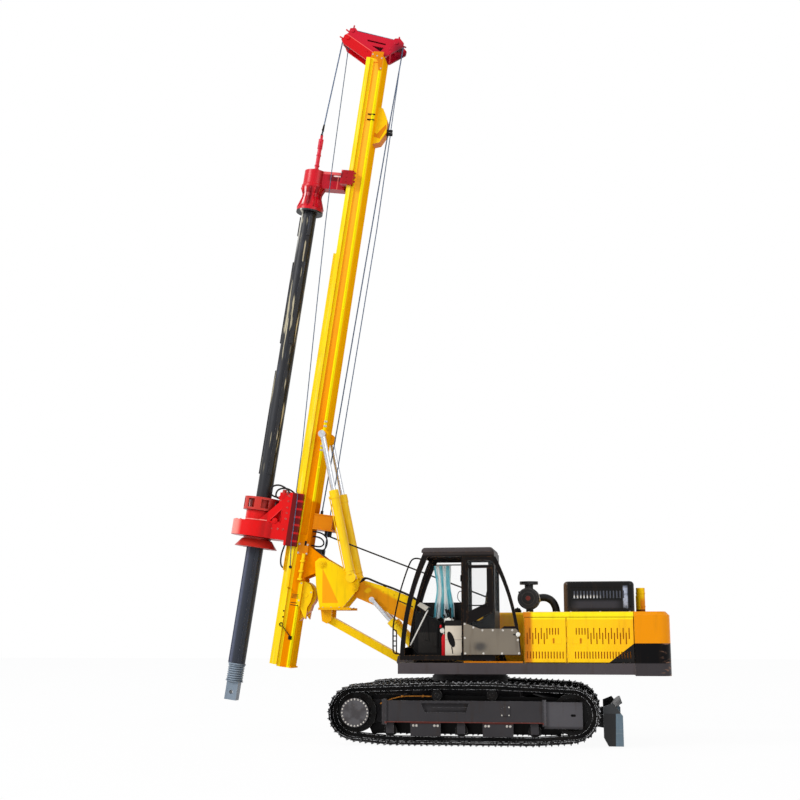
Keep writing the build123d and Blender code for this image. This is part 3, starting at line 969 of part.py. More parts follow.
for side in (-1, 1):
    crowd_winch += block(CROWD_DRUM[0] - 90, MAST_REAR_N, side * (CROWD_HALF - 40),
                         side * CROWD_HALF, CROWD_DRUM[1] - 180, CROWD_DRUM[1] + 180)
save_on_mast("crowd_winch", crowd_winch)
ROPE_BEAM_U = (580.0, 810.0)
ROPE_BEAM_REAR_N, ROPE_BEAM_HALF = MAST_REAR_N - 330, 190.0
ROPE_PLATE = 20.0
rope_bracket = block(ROPE_BEAM_REAR_N, MAST_REAR_N, -ROPE_BEAM_HALF, ROPE_BEAM_HALF, *ROPE_BEAM_U)
rope_bracket -= block(ROPE_BEAM_REAR_N - 1, MAST_REAR_N - 30, -ROPE_BEAM_HALF + 40,
                      ROPE_BEAM_HALF - 40, ROPE_BEAM_U[0] + ROPE_PLATE,
                      ROPE_BEAM_U[1] - ROPE_PLATE)
for u in (ROPE_BEAM_U[0] - ROPE_PLATE, ROPE_BEAM_U[1]):
    rope_bracket += block(ROPE_BEAM_REAR_N - 30, MAST_REAR_N, -ROPE_BEAM_HALF - 10,
                          ROPE_BEAM_HALF + 10, u, u + ROPE_PLATE)
save_on_mast("rope_bracket", rope_bracket)

# ---------------------------------------------------------------- rotary head
CLAW_INNER = RAIL_HALF_WIDTH + 10
CLAW_OUTER = CLAW_INNER + 55
CLAW_N = (MAST_FRONT_N - 35, MAST_FRONT_N - 7)
SHOE_LENGTH = 110.0
carriage_back = MAST_FRONT_N + RAIL_DEPTH + STRIP_DEPTH + 12
CARRIAGE_N = (carriage_back, carriage_back + 38)


def rail_claws(u0, u1):
    """Claws that reach round both rails, with guide shoes at their ends."""
    claws = block(*CARRIAGE_N, -CLAW_OUTER, CLAW_OUTER, u0, u1)
    rail_front = MAST_FRONT_N + RAIL_DEPTH
    for side in (-1, 1):
        claws += block(CLAW_N[0], CARRIAGE_N[0] + 1, side * CLAW_INNER, side * CLAW_OUTER, u0, u1)
        claws += block(*CLAW_N, side * (MAST_HALF_WIDTH + 10), side * (CLAW_INNER + 1), u0, u1)
        for low in (u0, u1 - SHOE_LENGTH):
            high = low + SHOE_LENGTH
            claws += block(CLAW_N[1] - 1, MAST_FRONT_N - BEARING_GAP, side * (MAST_HALF_WIDTH + 10),
                           side * (RAIL_HALF_WIDTH - 2), low, high)
            claws += block(rail_front + BEARING_GAP, CARRIAGE_N[0] + 1,
                           side * (RAIL_HALF_WIDTH - 65), side * (RAIL_HALF_WIDTH - 2), low, high)
            claws += block(MAST_FRONT_N + 5, rail_front - 5, side * (RAIL_HALF_WIDTH + BEARING_GAP),
                           side * (CLAW_INNER + 1), low, high)
    return claws


GEARBOX_RADIUS, GEARBOX_HEIGHT = 456.0, 260.0
gearbox_top = HEAD_U + GEARBOX_HEIGHT
carriage = rail_claws(HEAD_U - 80, gearbox_top + 560)
# Gusset on the gearbox's top, each side: (n, height above the gearbox)
plate_n = CARRIAGE_N[1]
GUSSET = ((plate_n - 1, 0), (plate_n - 1, 559), (plate_n + 60, 496), (KELLY_N - 217, 189),
          (KELLY_N - 76, 40), (KELLY_N - 76, 0))
GUSSET_WINDOW = ((plate_n + 110, 40), (plate_n + 120, 250), (plate_n + 285, 40))
for side in (-1, 1):
    gusset = plate([(n, gearbox_top + height) for n, height in GUSSET], side * (CLAW_OUTER - 40),
                   side * CLAW_OUTER)
    gusset -= plate([(n, gearbox_top + height) for n, height in GUSSET_WINDOW],
                    side * (CLAW_OUTER - 50), side * (CLAW_OUTER + 10))
    carriage += gusset
save_on_mast("head_carriage", carriage)

NECK_HEIGHT = 190.0
neck_top = gearbox_top + NECK_HEIGHT
gearbox = post(KELLY_N, 0, HEAD_U, gearbox_top, GEARBOX_RADIUS)
gearbox += block(plate_n, KELLY_N, -CLAW_OUTER, CLAW_OUTER, HEAD_U, gearbox_top - SEAT_GAP)
gearbox += post(KELLY_N, 0, gearbox_top - 1, neck_top, SLEEVE_RADIUS + 75)
gearbox -= post(KELLY_N, 0, HEAD_U - 100, neck_top + 50, SLEEVE_RADIUS + BEARING_GAP)
MOTOR_N, MOTOR_Y, MOTOR_RADIUS = KELLY_N - 396, 150.0, 95.0
motors = []
for side in (-1, 1):
    y = side * MOTOR_Y
    motor = post(MOTOR_N, y, gearbox_top, gearbox_top + 270, MOTOR_RADIUS)
    motor += post(MOTOR_N, y, gearbox_top + 269, gearbox_top + 450, MOTOR_RADIUS - 25)
    motor += block(MOTOR_N - 60, MOTOR_N + 60, y - 50, y + 50, gearbox_top + 449,
                   gearbox_top + 550)
    motors.append(motor)
save_on_mast("head_gearbox", gearbox, *motors)

SLEEVE_U = HEAD_U - 180
CAGE_RADIUS = SLEEVE_RADIUS + 135
CAGE_U = (neck_top + RUN_GAP, neck_top + 230)
CAGE_WINDOWS = 8
FLANGE_RADIUS = 370.0
sleeve = post(KELLY_N, 0, SLEEVE_U, CAGE_U[1], SLEEVE_RADIUS)
sleeve += post(KELLY_N, 0, *CAGE_U, CAGE_RADIUS)
sleeve += Pos(KELLY_N, 0, SLEEVE_U + 70) * Cone(FLANGE_RADIUS, SLEEVE_RADIUS + 75, 140)
sleeve += post(KELLY_N, 0, SLEEVE_U + 139, HEAD_U - RUN_GAP, SLEEVE_RADIUS + 55)
hollow = post(KELLY_N, 0, CAGE_U[0] + 14, CAGE_U[1] - 14, CAGE_RADIUS - 30)
sleeve -= hollow - post(KELLY_N, 0, CAGE_U[0], CAGE_U[1], SLEEVE_RADIUS + 40)
for k in range(CAGE_WINDOWS):
    turn = Rot(0, 0, (k + 0.5) * 360 / CAGE_WINDOWS)
    opening = turn * Pos(CAGE_RADIUS - 20, 0, 0) * Box(120, 130, 150)
    sleeve -= Pos(KELLY_N, 0, (CAGE_U[0] + CAGE_U[1]) / 2) * opening
sleeve -= post(KELLY_N, 0, SLEEVE_U - 20, CAGE_U[1] + 20, SLEEVE_BORE)
recess = post(KELLY_N, 0, SLEEVE_U - 1, SLEEVE_U + 60, SLEEVE_RADIUS + 45)
sleeve -= recess - post(KELLY_N, 0, SLEEVE_U - 20, SLEEVE_U + 80, SLEEVE_RADIUS)
BOLT_CIRCLE, BOLT_COUNT, BOLT_RADIUS = 620.0, 12, 13.0
for k in range(BOLT_COUNT):
    angle = 2 * math.pi * k / BOLT_COUNT
    sleeve -= post(KELLY_N + BOLT_CIRCLE / 2 * math.cos(angle), BOLT_CIRCLE / 2 * math.sin(angle),
                   SLEEVE_U - 20, SLEEVE_U + 40, BOLT_RADIUS)
save_on_mast("drive_sleeve", sleeve)

# ---------------------------------------------------------------- kelly bar and follower
# Drive ribs run in lengths with gaps between them: (lower end, upper end)
RIB_SPANS = ((KELLY_BOTTOM_U, KELLY_BOTTOM_U + 2750), (KELLY_BOTTOM_U + 3250, KELLY_BOTTOM_U + 5100),
             (KELLY_TOP_U - 2465, KELLY_TOP_U - 965), (KELLY_TOP_U - 465, KELLY_TOP_U - 115))
kelly = post(KELLY_N, 0, KELLY_BOTTOM_U, KELLY_TOP_U, KELLY_TUBE_RADIUS)
rib_half = 30.0
for k in range(3):
    for low, high in RIB_SPANS:
        rib = block(KELLY_TUBE_RADIUS - 8, KELLY_RIB_RADIUS, -rib_half, rib_half, low, high)
        kelly += Pos(KELLY_N, 0, 0) * Rot(0, 0, 120 * k) * rib
kelly += post(KELLY_N, 0, KELLY_TOP_U - 30, KELLY_TOP_U, 240)
kelly -= post(KELLY_N, 0, KELLY_BOTTOM_U - 1, KELLY_TOP_U - 60, KELLY_BORE)
save_on_mast("kelly_outer", kelly)

SPRING_TOP_U, SPRING_BOTTOM_U = KELLY_BOTTOM_U - 25.0, STUB_BOTTOM_U + 320.0
SPRING_RADIUS = 125.0
SPRING_SEAT_RADIUS = SPRING_RADIUS + 25
inner = post(KELLY_N, 0, SPRING_BOTTOM_U, KELLY_TOP_U - 70, INNER_BAR_RADIUS)
inner += post(KELLY_N, 0, SPRING_TOP_U, KELLY_BOTTOM_U - SEAT_GAP, SPRING_SEAT_RADIUS)
COILS = 7
coil_pitch = (SPRING_TOP_U - SPRING_BOTTOM_U) / COILS
wire_radius = coil_pitch * 0.42
inner += post(KELLY_N, 0, SPRING_BOTTOM_U, SPRING_TOP_U + 1, SPRING_RADIUS - wire_radius + 3)
for k in range(COILS):
    coil_u = SPRING_TOP_U - (k + 0.5) * coil_pitch
    inner += Pos(KELLY_N, 0, coil_u) * Torus(SPRING_RADIUS, wire_radius)
inner += post(KELLY_N, 0, SPRING_BOTTOM_U - 15, SPRING_BOTTOM_U, SPRING_SEAT_RADIUS)
inner += block(KELLY_N - STUB_HALF_WIDTH, KELLY_N + STUB_HALF_WIDTH, -STUB_HALF_WIDTH,
               STUB_HALF_WIDTH, STUB_BOTTOM_U, SPRING_BOTTOM_U - 14)
STUB_PIN_RADIUS = 33.0
inner -= pin((KELLY_N, STUB_BOTTOM_U + 130), -150, 150, STUB_PIN_RADIUS)
save_on_mast("kelly_inner", inner)

# Spool that holds the bar's top: (radius, height above the bar)
SPOOL = ((240, SEAT_GAP), (240, 45), (165, 260), (165, 330), (215, 440), (215, 480), (200, 500),
         (200, 755))
follower_top = KELLY_TOP_U + SPOOL[-1][1]
side_line = [(radius, KELLY_TOP_U + height) for radius, height in SPOOL]
spool_wire = Polyline((0, side_line[0][1]), *side_line, (0, follower_top), close=True)
spool = revolve(make_face(Plane.XZ * spool_wire), axis=Axis.Z)
follower = Pos(KELLY_N, 0, 0) * spool
follower += block(CARRIAGE_N[0] + 3, KELLY_N, -110, 110, follower_top - 320, follower_top)
follower += rail_claws(follower_top - 280, follower_top - 20)
# Swivel above the arm: (radius, top above the arm)
SWIVEL = ((60, 60), (36, 500), (45, 640), (25, 720))
swivel_low = follower_top
swivel = post(KELLY_N, 0, swivel_low, swivel_low + 1, 60)
for radius, height in SWIVEL:
    swivel += post(KELLY_N, 0, swivel_low, follower_top + height, radius)
    swivel_low = follower_top + height - 1
save_on_mast("follower", follower, swivel)
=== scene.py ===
import math

import bmesh
import bpy
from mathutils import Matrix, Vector


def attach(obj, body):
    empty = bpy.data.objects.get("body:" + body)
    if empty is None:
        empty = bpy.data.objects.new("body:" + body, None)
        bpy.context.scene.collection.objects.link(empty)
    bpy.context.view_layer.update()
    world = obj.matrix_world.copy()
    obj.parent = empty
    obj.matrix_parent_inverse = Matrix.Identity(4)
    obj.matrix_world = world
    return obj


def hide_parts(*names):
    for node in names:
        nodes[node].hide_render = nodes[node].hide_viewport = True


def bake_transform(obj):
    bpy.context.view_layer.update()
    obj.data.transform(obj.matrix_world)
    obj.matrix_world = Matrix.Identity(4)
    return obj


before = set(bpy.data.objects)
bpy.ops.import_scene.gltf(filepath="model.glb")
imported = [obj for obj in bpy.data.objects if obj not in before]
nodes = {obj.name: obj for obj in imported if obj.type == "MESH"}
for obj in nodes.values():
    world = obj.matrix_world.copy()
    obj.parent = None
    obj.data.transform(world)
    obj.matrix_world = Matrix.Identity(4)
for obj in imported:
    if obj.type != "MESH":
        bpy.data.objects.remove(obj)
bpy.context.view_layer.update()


# The camera: level with a person's shoulders, 21 m out on the rig's left side, tipped up to take in the mast.
# Its lens is a little long, which keeps the perspective mild.
CAMERA_PLACE = Vector((-2.1342, 21.0498, 1.6))
CAMERA_LENS = 56.25
CAMERA_PITCH = math.radians(10.868)
CAMERA_YAW = math.radians(8.930)


def placed(name, data):
    """Puts a new object with that data into the scene."""
    made = bpy.data.objects.new(name, data)
    bpy.context.scene.collection.objects.link(made)
    return made


camera_data = bpy.data.cameras.new("camera")
camera_data.lens = CAMERA_LENS
camera_data.clip_end = 200
camera = placed("camera", camera_data)
camera_look = Vector((math.sin(CAMERA_YAW) * math.cos(CAMERA_PITCH),
    -math.cos(CAMERA_YAW) * math.cos(CAMERA_PITCH), math.sin(CAMERA_PITCH)))
camera.location = CAMERA_PLACE
camera.rotation_euler = camera_look.to_track_quat("-Z", "Y").to_euler()
bpy.context.scene.camera = camera
bpy.context.scene.view_settings.view_transform = "Standard"


# The yard: a pale level floor that keeps the rig's soft shadow, and a white sky that is seen by eye, in metal
# and through glass. Two wide soft lamps stand to the rig's front left and rear left.
class Wire:
    """One socket of a material's nodes. Arithmetic on it adds Math nodes."""

    def __init__(self, tree, socket):
        self.tree = tree
        self.socket = socket

    def node(self, kind, inputs=None, output=0, **settings):
        """Adds a node of that kind, with its sockets' values or links and its settings."""
        made = self.tree.nodes.new(kind)
        for name, value in settings.items():
            setattr(made, name, value)
        for name, value in (inputs or {}).items():
            if isinstance(value, Wire):
                self.tree.links.new(value.socket, made.inputs[name])
            else:
                made.inputs[name].default_value = value
        return Wire(self.tree, made.outputs[output])

    def maths(self, operation, left, right=0.0):
        return self.node("ShaderNodeMath", {0: left, 1: right}, operation=operation)

    def __add__(self, other): return self.maths("ADD", self, other)
    def __radd__(self, other): return self.maths("ADD", other, self)
    def __sub__(self, other): return self.maths("SUBTRACT", self, other)
    def __rsub__(self, other): return self.maths("SUBTRACT", other, self)
    def __mul__(self, other): return self.maths("MULTIPLY", self, other)
    def __rmul__(self, other): return self.maths("MULTIPLY", other, self)
    def __pow__(self, other): return self.maths("POWER", self, other)
    def most(self, other): return self.maths("MAXIMUM", self, other)
    def size(self): return self.maths("ABSOLUTE", self)
    def wave(self): return self.maths("SINE", self)

    def rise(self, low, high):
        """0 below low, 1 above high, smooth between them; low may be the greater."""
        return self.node("ShaderNodeMapRange", {"Value": self, "From Min": low, "From Max": high},
            interpolation_type="SMOOTHSTEP")

    def inside(self, low, high, soft=0.004):
        """1 between low and high, 0 outside, over a soft border."""
        return self.rise(low - soft, low + soft) * self.rise(high + soft, high - soft)

    def blend(self, low, high):
        """The colour low where this is 0 and high where it is 1."""
        return self.node("ShaderNodeMix", {0: self, 6: low, 7: high}, output=2, data_type="RGBA")


def shade(red, green, blue):
    """A colour from how bright its three parts look, 0 to 255."""
    return tuple((part / 255) ** 2.2 for part in (red, green, blue)) + (1.0,)


class Finish:
    """A material being made: its place on the piece, and its shader's sockets."""

    def __init__(self, name):
        self.material = bpy.data.materials.new(name)
        self.material.use_nodes = True
        self.tree = self.material.node_tree
        self.shader = self.tree.nodes["Principled BSDF"]
        self.start = Wire(self.tree, None)
        self.place = self.start.node("ShaderNodeTexCoord", output=3)

    def parts(self, vector):
        """A vector's x, y and z as three wires."""
        split = self.start.node("ShaderNodeSeparateXYZ", {0: vector})
        outputs = split.socket.node.outputs
        return [Wire(self.tree, outputs[i]) for i in range(3)]

    def axes(self):
        """The place's x, y and z on the piece, in metres."""
        return self.parts(self.place)

    def facing(self):
        """The surface normal's x, y and z on the piece."""
        return self.parts(self.start.node("ShaderNodeTexCoord", output=1))

    def along(self, way, origin):
        """How far the place lies from the origin in that direction, in metres."""
        reach = self.start.node("ShaderNodeVectorMath", {0: self.place, 1: way}, output=1,
            operation="DOT_PRODUCT")
        return reach - way.dot(origin)

    def noise(self, scale, detail=3.0, place=None):
        return self.start.node("ShaderNodeTexNoise", {"Vector": place or self.place, "Scale": scale,
            "Detail": detail})

    def stretched(self, x, y, z):
        """The place, scaled by three factors, for grain that runs one way."""
        return self.start.node("ShaderNodeMapping", {"Vector": self.place, "Scale": (x, y, z)})

    def edges(self, width):
        """Near 1 on edges and corners sharper than that width, 0 on flats."""
        rounded = self.start.node("ShaderNodeBevel", {"Radius": width}, samples=4)
        flat = self.start.node("ShaderNodeNewGeometry", output=1)
        match = self.start.node("ShaderNodeVectorMath", {0: rounded, 1: flat}, output=1,
            operation="DOT_PRODUCT")
        return match.rise(0.995, 0.80)

    def bump(self, height, distance):
        return self.start.node("ShaderNodeBump", {"Height": height, "Distance": distance})

    def set(self, **sockets):
        """Sets the shader's sockets; Base_Color stands for Base Color."""
        for name, value in sockets.items():
            socket = self.shader.inputs[name.replace("_", " ")]
            if isinstance(value, Wire):
                self.tree.links.new(value.socket, socket)
            else:
                socket.default_value = value
        return self.material


def seen(start):
    """1 for rays that the eye, a reflection or a glass pane sends out."""
    rays = start.node("ShaderNodeLightPath")
    outputs = rays.socket.node.outputs
    eye, glossy, transmission = (Wire(start.tree, outputs[name])
        for name in ("Is Camera Ray", "Is Glossy Ray", "Is Transmission Ray"))
    return eye.most(glossy).most(transmission)


FLOOR_HALF = 90.0
FLOOR_WHITE = 0.95
floor_mesh = bpy.data.meshes.new("floor")
floor_mesh.from_pydata([(-FLOOR_HALF, -FLOOR_HALF, 0), (FLOOR_HALF, -FLOOR_HALF, 0),
    (FLOOR_HALF, FLOOR_HALF, 0), (-FLOOR_HALF, FLOOR_HALF, 0)], [], [(0, 1, 2, 3)])
floor = placed("floor", floor_mesh)
floor_finish = Finish("pale_floor")
floor_dust = floor_finish.noise(0.7, 5.0).rise(0.3, 0.7)
floor_finish.set(Base_Color=floor_dust.blend(shade(240, 240, 240), shade(246, 246, 246)), Roughness=0.9)
floor_white = floor_finish.start.node("ShaderNodeEmission")
floor_shader = Wire(floor_finish.tree, floor_finish.shader.outputs[0])
floor_mix = floor_finish.start.node("ShaderNodeMixShader",
    {0: seen(floor_finish.start) * FLOOR_WHITE, 1: floor_shader, 2: floor_white})
floor_finish.tree.links.new(floor_mix.socket, floor_finish.tree.nodes["Material Output"].inputs[0])
floor_mesh.materials.append(floor_finish.material)

world = bpy.data.worlds.new("sky")
world.use_nodes = True
sky = Wire(world.node_tree, None)
sky_light = sky.node("ShaderNodeBackground", {"Color": (0.95, 0.97, 1.0, 1), "Strength": 0.62})
sky_white = sky.node("ShaderNodeBackground", {"Color": (1, 1, 1, 1), "Strength": 1.0})
sky_mix = sky.node("ShaderNodeMixShader", {0: seen(sky), 1: sky_light, 2: sky_white})
world.node_tree.links.new(sky_mix.socket, world.node_tree.nodes["World Output"].inputs[0])
bpy.context.scene.world = world

LAMPS = (
    # name, place, aim, width in metres, watts
    ("sun_lamp", (45, 36, 40), (0, 0, 4), 20.0, 24000.0),
    ("fill_lamp", (-32, 28, 20), (-1, 0, 3), 24.0, 4200.0),
)
for lamp_name, lamp_place, lamp_aim, lamp_width, lamp_watts in LAMPS:
    lamp_data = bpy.data.lights.new(lamp_name, "AREA")
    lamp_data.size = lamp_width
    lamp_data.energy = lamp_watts
    lamp = placed(lamp_name, lamp_data)
    lamp.location = lamp_place
    lamp_way = Vector(lamp_aim) - Vector(lamp_place)
    lamp.rotation_euler = lamp_way.to_track_quat("-Z", "Y").to_euler()


# Tracks: chains of cast links with rolled steel shoes, run on steel wheels. They are sooty and oiled, and
# dusty in the corners. The ground rubs the shoes' edges and the underside of the lower run bright.
def dress(material, *names):
    """Gives CAD nodes their finish."""
    for name in names:
        mesh = nodes[name].data
        mesh.materials.clear()
        mesh.materials.append(material)


shoe_steel = Finish("shoe_steel")
shoe_z = shoe_steel.axes()[2]
shoe_dirt = shoe_steel.noise(7.0, 6.0).rise(0.42, 0.66)
shoe_grain = shoe_steel.noise(55.0, 4.0)
shoe_rub = shoe_steel.edges(0.016) * shoe_grain.rise(0.47, 0.53)
shoe_rub = shoe_rub.most(shoe_z.rise(0.016, 0.004) * shoe_grain.rise(0.3, 0.5))
shoe_tone = shoe_dirt.blend(shade(15, 15, 16), shade(34, 32, 31))
dress(shoe_steel.set(Base_Color=shoe_rub.blend(shoe_tone, shade(226, 226, 228)),
    Roughness=0.62 - shoe_rub * 0.3 + shoe_dirt * 0.15, Metallic=shoe_rub * 0.7, Specular_IOR_Level=0.12,
    Normal=shoe_steel.bump(shoe_grain, 0.003)), "track_left", "track_right")

SPROCKET_X, SPROCKET_Z = 1.67, 0.49
MOTOR_COVER_RADIUS = 0.22
wheel_iron = Finish("wheel_iron")
wheel_x, wheel_y, wheel_z = wheel_iron.axes()
wheel_reach = ((wheel_x - SPROCKET_X) ** 2 + (wheel_z - SPROCKET_Z) ** 2) ** 0.5
motor_face = wheel_reach.rise(MOTOR_COVER_RADIUS + 0.004, MOTOR_COVER_RADIUS)
motor_face = motor_face * wheel_y.size().rise(1.36, 1.37)
wheel_grain = wheel_iron.noise(40.0, 4.0)
wheel_dirt = wheel_iron.noise(9.0, 5.0).rise(0.4, 0.65)
wheel_rub = wheel_iron.edges(0.006) * wheel_grain.rise(0.45, 0.6)
wheel_tone = wheel_dirt.blend(shade(14, 13, 14), shade(30, 27, 26))
motor_tone = wheel_dirt.blend(shade(84, 82, 84), shade(70, 67, 68))
wheel_tone = motor_face.blend(wheel_tone, motor_tone)
dress(wheel_iron.set(Base_Color=wheel_rub.blend(wheel_tone, shade(150, 148, 145)),
    Roughness=0.5 + wheel_dirt * 0.3, Metallic=wheel_rub * 0.5, Specular_IOR_Level=0.2,
    Normal=wheel_iron.bump(wheel_grain, 0.0015)), "sprocket_left", "sprocket_right", "track_wheels_left",
    "track_wheels_right")


# Bolts of all the steelwork: hexagonal steel heads on a flat washer, screwed home and worn to bare metal.
# Each group of them is one mesh.
class Grower:
    """A Geometry Nodes tree being built; add() makes a node from its kind, sockets and settings."""

    def __init__(self, name, **inputs):
        self.tree = bpy.data.node_groups.new(name, "GeometryNodeTree")
        self.tree.interface.new_socket("Geometry", in_out="INPUT", socket_type="NodeSocketGeometry")
        self.tree.interface.new_socket("Geometry", in_out="OUTPUT", socket_type="NodeSocketGeometry")
        for label, (kind, value) in inputs.items():
            socket = self.tree.interface.new_socket(label, in_out="INPUT", socket_type="NodeSocket" + kind)
            if value is not None:
                socket.default_value = value
        self.given = self.tree.nodes.new("NodeGroupInput").outputs

    def add(self, kind, inputs=None, **settings):
        made = self.tree.nodes.new(kind)
        for name, value in settings.items():
            setattr(made, name, value)
        for name, value in (inputs or {}).items():
            if isinstance(value, bpy.types.NodeSocket):
                self.tree.links.new(value, made.inputs[name])
            elif isinstance(value, list):
                for socket in value:
                    self.tree.links.new(socket, made.inputs[name])
            else:
                made.inputs[name].default_value = value
        return made.outputs

    def times(self, left, right):
        return self.add("ShaderNodeMath", {0: left, 1: right}, operation="MULTIPLY")[0]

    def end(self, geometry):
        real = self.add("GeometryNodeRealizeInstances", {0: geometry})
        set_material = self.add("GeometryNodeSetMaterial", {0: real[0], "Material": self.given["Material"]})
        out = self.tree.nodes.new("NodeGroupOutput")
        self.tree.links.new(set_material[0], out.inputs[0])
        return self.tree


def grow(name, base, tree, **values):
    """Runs that tree on the base object and gives the result back as one plain mesh object."""
    modifier = base.modifiers.new("grow", "NODES")
    modifier.node_group = tree
    for item in tree.interface.items_tree:
        if item.item_type == "SOCKET" and item.in_out == "INPUT" and item.name in values:
            modifier[item.identifier] = values[item.name]
    bpy.context.view_layer.update()
    ready = base.evaluated_get(bpy.context.evaluated_depsgraph_get())
    mesh = bpy.data.meshes.new_from_object(ready)
    mesh.name = name
    base.modifiers.remove(modifier)
    bpy.data.objects.remove(base)
    return placed(name, mesh)


def fit(piece, body):
    """Fixes a finished piece to the body it moves with."""
    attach(piece, body)
    return piece


bolt_tree = Grower("bolt_heads", Radius=("Float", 0.016), Height=("Float", 0.014), Turn=("Rotation", None),
    Material=("Material", None))
bolt_washer = bolt_tree.add("GeometryNodeMeshCylinder",
    {"Vertices": 12, "Radius": bolt_tree.times(bolt_tree.given["Radius"], 1.45),
    "Depth": bolt_tree.times(bolt_tree.given["Height"], 0.5)})
bolt_head = bolt_tree.add("GeometryNodeMeshCylinder", {"Vertices": 6, "Radius": bolt_tree.given["Radius"],
    "Depth": bolt_tree.times(bolt_tree.given["Height"], 2.0)})
bolt_whole = bolt_tree.add("GeometryNodeJoinGeometry", {0: [bolt_washer["Mesh"], bolt_head["Mesh"]]})
bolt_places = bolt_tree.add("GeometryNodeInstanceOnPoints",
    {"Points": bolt_tree.given[0], "Instance": bolt_whole[0], "Rotation": bolt_tree.given["Turn"]})
bolt_tree = bolt_tree.end(bolt_places[0])

bolt_steel = Finish("bolt_steel")
bolt_grain = bolt_steel.noise(90.0, 4.0)
bolt_steel.set(Base_Color=bolt_grain.rise(0.35, 0.65).blend(shade(226, 222, 214), shade(150, 142, 132)),
    Roughness=0.35 + bolt_grain * 0.25, Metallic=0.25, Normal=bolt_steel.bump(bolt_grain, 0.0004))


def bolts(name, body, places, way, radius, height, material=bolt_steel.material):
    """Bolt heads at those places, standing out of the surface in that direction."""
    points = bpy.data.meshes.new(name)
    points.from_pydata([Vector(place) for place in places], [], [])
    base = placed(name + "_places", points)
    turn = Vector(way).to_track_quat("Z", "Y").to_euler()
    heads = grow(name, base, bolt_tree, Radius=radius, Height=height, Turn=turn, Material=material)
    return fit(heads, body)


def ring(x, z, radius, count, y):
    """Places evenly round a circle that stands upright and faces the rig's side."""
    return [(x + radius * math.cos(math.tau * k / count), y, z + radius * math.sin(math.tau * k / count))
        for k in range(count)]


SIDES = (1, "left"), (-1, "right")
for side, side_name in SIDES:
    bolts("motor_bolts_" + side_name, "undercarriage", ring(SPROCKET_X, SPROCKET_Z,
        MOTOR_COVER_RADIUS - 0.018, 24, side * 1.390), (0, side, 0), 0.009, 0.004)


# Track frames: welded box beams in dark grey enamel, with a rusty lower flange, a step pocket, a cover plate
# over the grease valve, guards round the rollers and a yoke that holds the idler.
class Enamel(Finish):
    """Enamel sprayed on steel: drifts in tone, streaks, chips, and has painted shade where it faces back or
    down.
    """

    def __init__(self, name, colour, painted_shade_colour, bare, worn=0.5, rough=0.36, chip=0.007):
        super().__init__(name)
        turned = self.facing()
        # Painted shade: faces turned back or down take the shaded colour, as if lit from the front and above.
        painted_shade_facing = (turned[0] * -0.75 - turned[2] * 0.75).rise(0.30, 0.80)
        drift = self.noise(1.1, 4.0).rise(0.35, 0.70)
        self.tone = painted_shade_facing.most(drift * 0.25).blend(shade(*colour), shade(*painted_shade_colour))
        self.bare = shade(*bare)
        self.fleck = self.noise(42.0, 6.0)
        self.streak = self.noise(1.0, 5.0, self.stretched(14.0, 14.0, 1.6)).rise(0.50, 0.78)
        self.chipped = self.edges(chip) * self.fleck.rise(0.47, 0.60) * worn
        self.rough = rough

    def zone(self, mask, colour):
        """Paints another colour where the mask is 1."""
        self.tone = mask.blend(self.tone, shade(*colour))
        return self

    def done(self, specular=0.10, coat=0.0, stain=0.16):
        stained = (self.streak * stain).blend(self.tone, shade(60, 45, 30))
        return self.set(Base_Color=self.chipped.blend(stained, self.bare),
            Roughness=self.rough + self.streak * 0.15 + self.chipped * 0.2, Metallic=0.0,
            Specular_IOR_Level=specular, Coat_Weight=coat, Normal=self.bump(self.fleck, 0.0007))


class Shape:
    """A mesh being built up from plates, boxes and bars; place() sets each of its points."""

    def __init__(self, place=lambda x, y, z: Vector((x, y, z))):
        self.mesh = bmesh.new()
        self.place = place

    def plate(self, outline, y0, y1):
        """A flat plate with that outline of (x, z) points, from y0 to y1."""
        near, far = ([self.mesh.verts.new(self.place(x, y, z)) for x, z in outline] for y in (y0, y1))
        self.mesh.faces.new(near)
        self.mesh.faces.new(far[::-1])
        for k in range(len(outline)):
            self.mesh.faces.new((near[k - 1], near[k], far[k], far[k - 1]))
        return self

    def box(self, x0, x1, y0, y1, z0, z1):
        return self.plate([(x0, z0), (x1, z0), (x1, z1), (x0, z1)], y0, y1)

    def pin(self, x, z, y0, y1, radius, end_radius=None, sides=20):
        """A bar that lies across the rig, from y0 to y1."""
        return self.bar((x, y0, z), (x, y1, z), radius, end_radius, sides)

    def post(self, x, y, z0, z1, radius, end_radius=None, sides=20):
        """A bar that stands upright, from z0 to z1."""
        return self.bar((x, y, z0), (x, y, z1), radius, end_radius, sides)

    def bar(self, start, end, radius, end_radius=None, sides=20):
        """A round bar between two points, or a cone where its ends differ."""
        start, end = self.place(*start), self.place(*end)
        way = (end - start).normalized()
        across = way.orthogonal().normalized()
        over = way.cross(across)
        rims = []
        for centre, reach in ((start, radius), (end, radius if end_radius is None else end_radius)):
            rims.append([self.mesh.verts.new(centre + across * reach * math.cos(math.tau * k / sides)
                + over * reach * math.sin(math.tau * k / sides)) for k in range(sides)])
        self.mesh.faces.new(rims[0])
        self.mesh.faces.new(rims[1][::-1])
        for k in range(sides):
            skin = self.mesh.faces.new((rims[0][k - 1], rims[0][k], rims[1][k], rims[1][k - 1]))
            skin.smooth = True
        return self

    def ready(self, name, body, slot, material, bevel=0.0):
        """Makes the object, rounds its edges by bevel, and fixes it to its body."""
        bmesh.ops.recalc_face_normals(self.mesh, faces=self.mesh.faces)
        mesh = bpy.data.meshes.new(name)
        self.mesh.to_mesh(mesh)
        self.mesh.free()
        mesh.materials.append(material)
        made = placed(name, mesh)
        if bevel:
            rounding = made.modifiers.new("rounding", "BEVEL")
            rounding.width = bevel
            rounding.segments = 2
            rounding.limit_method = "ANGLE"
        return fit(made, body)


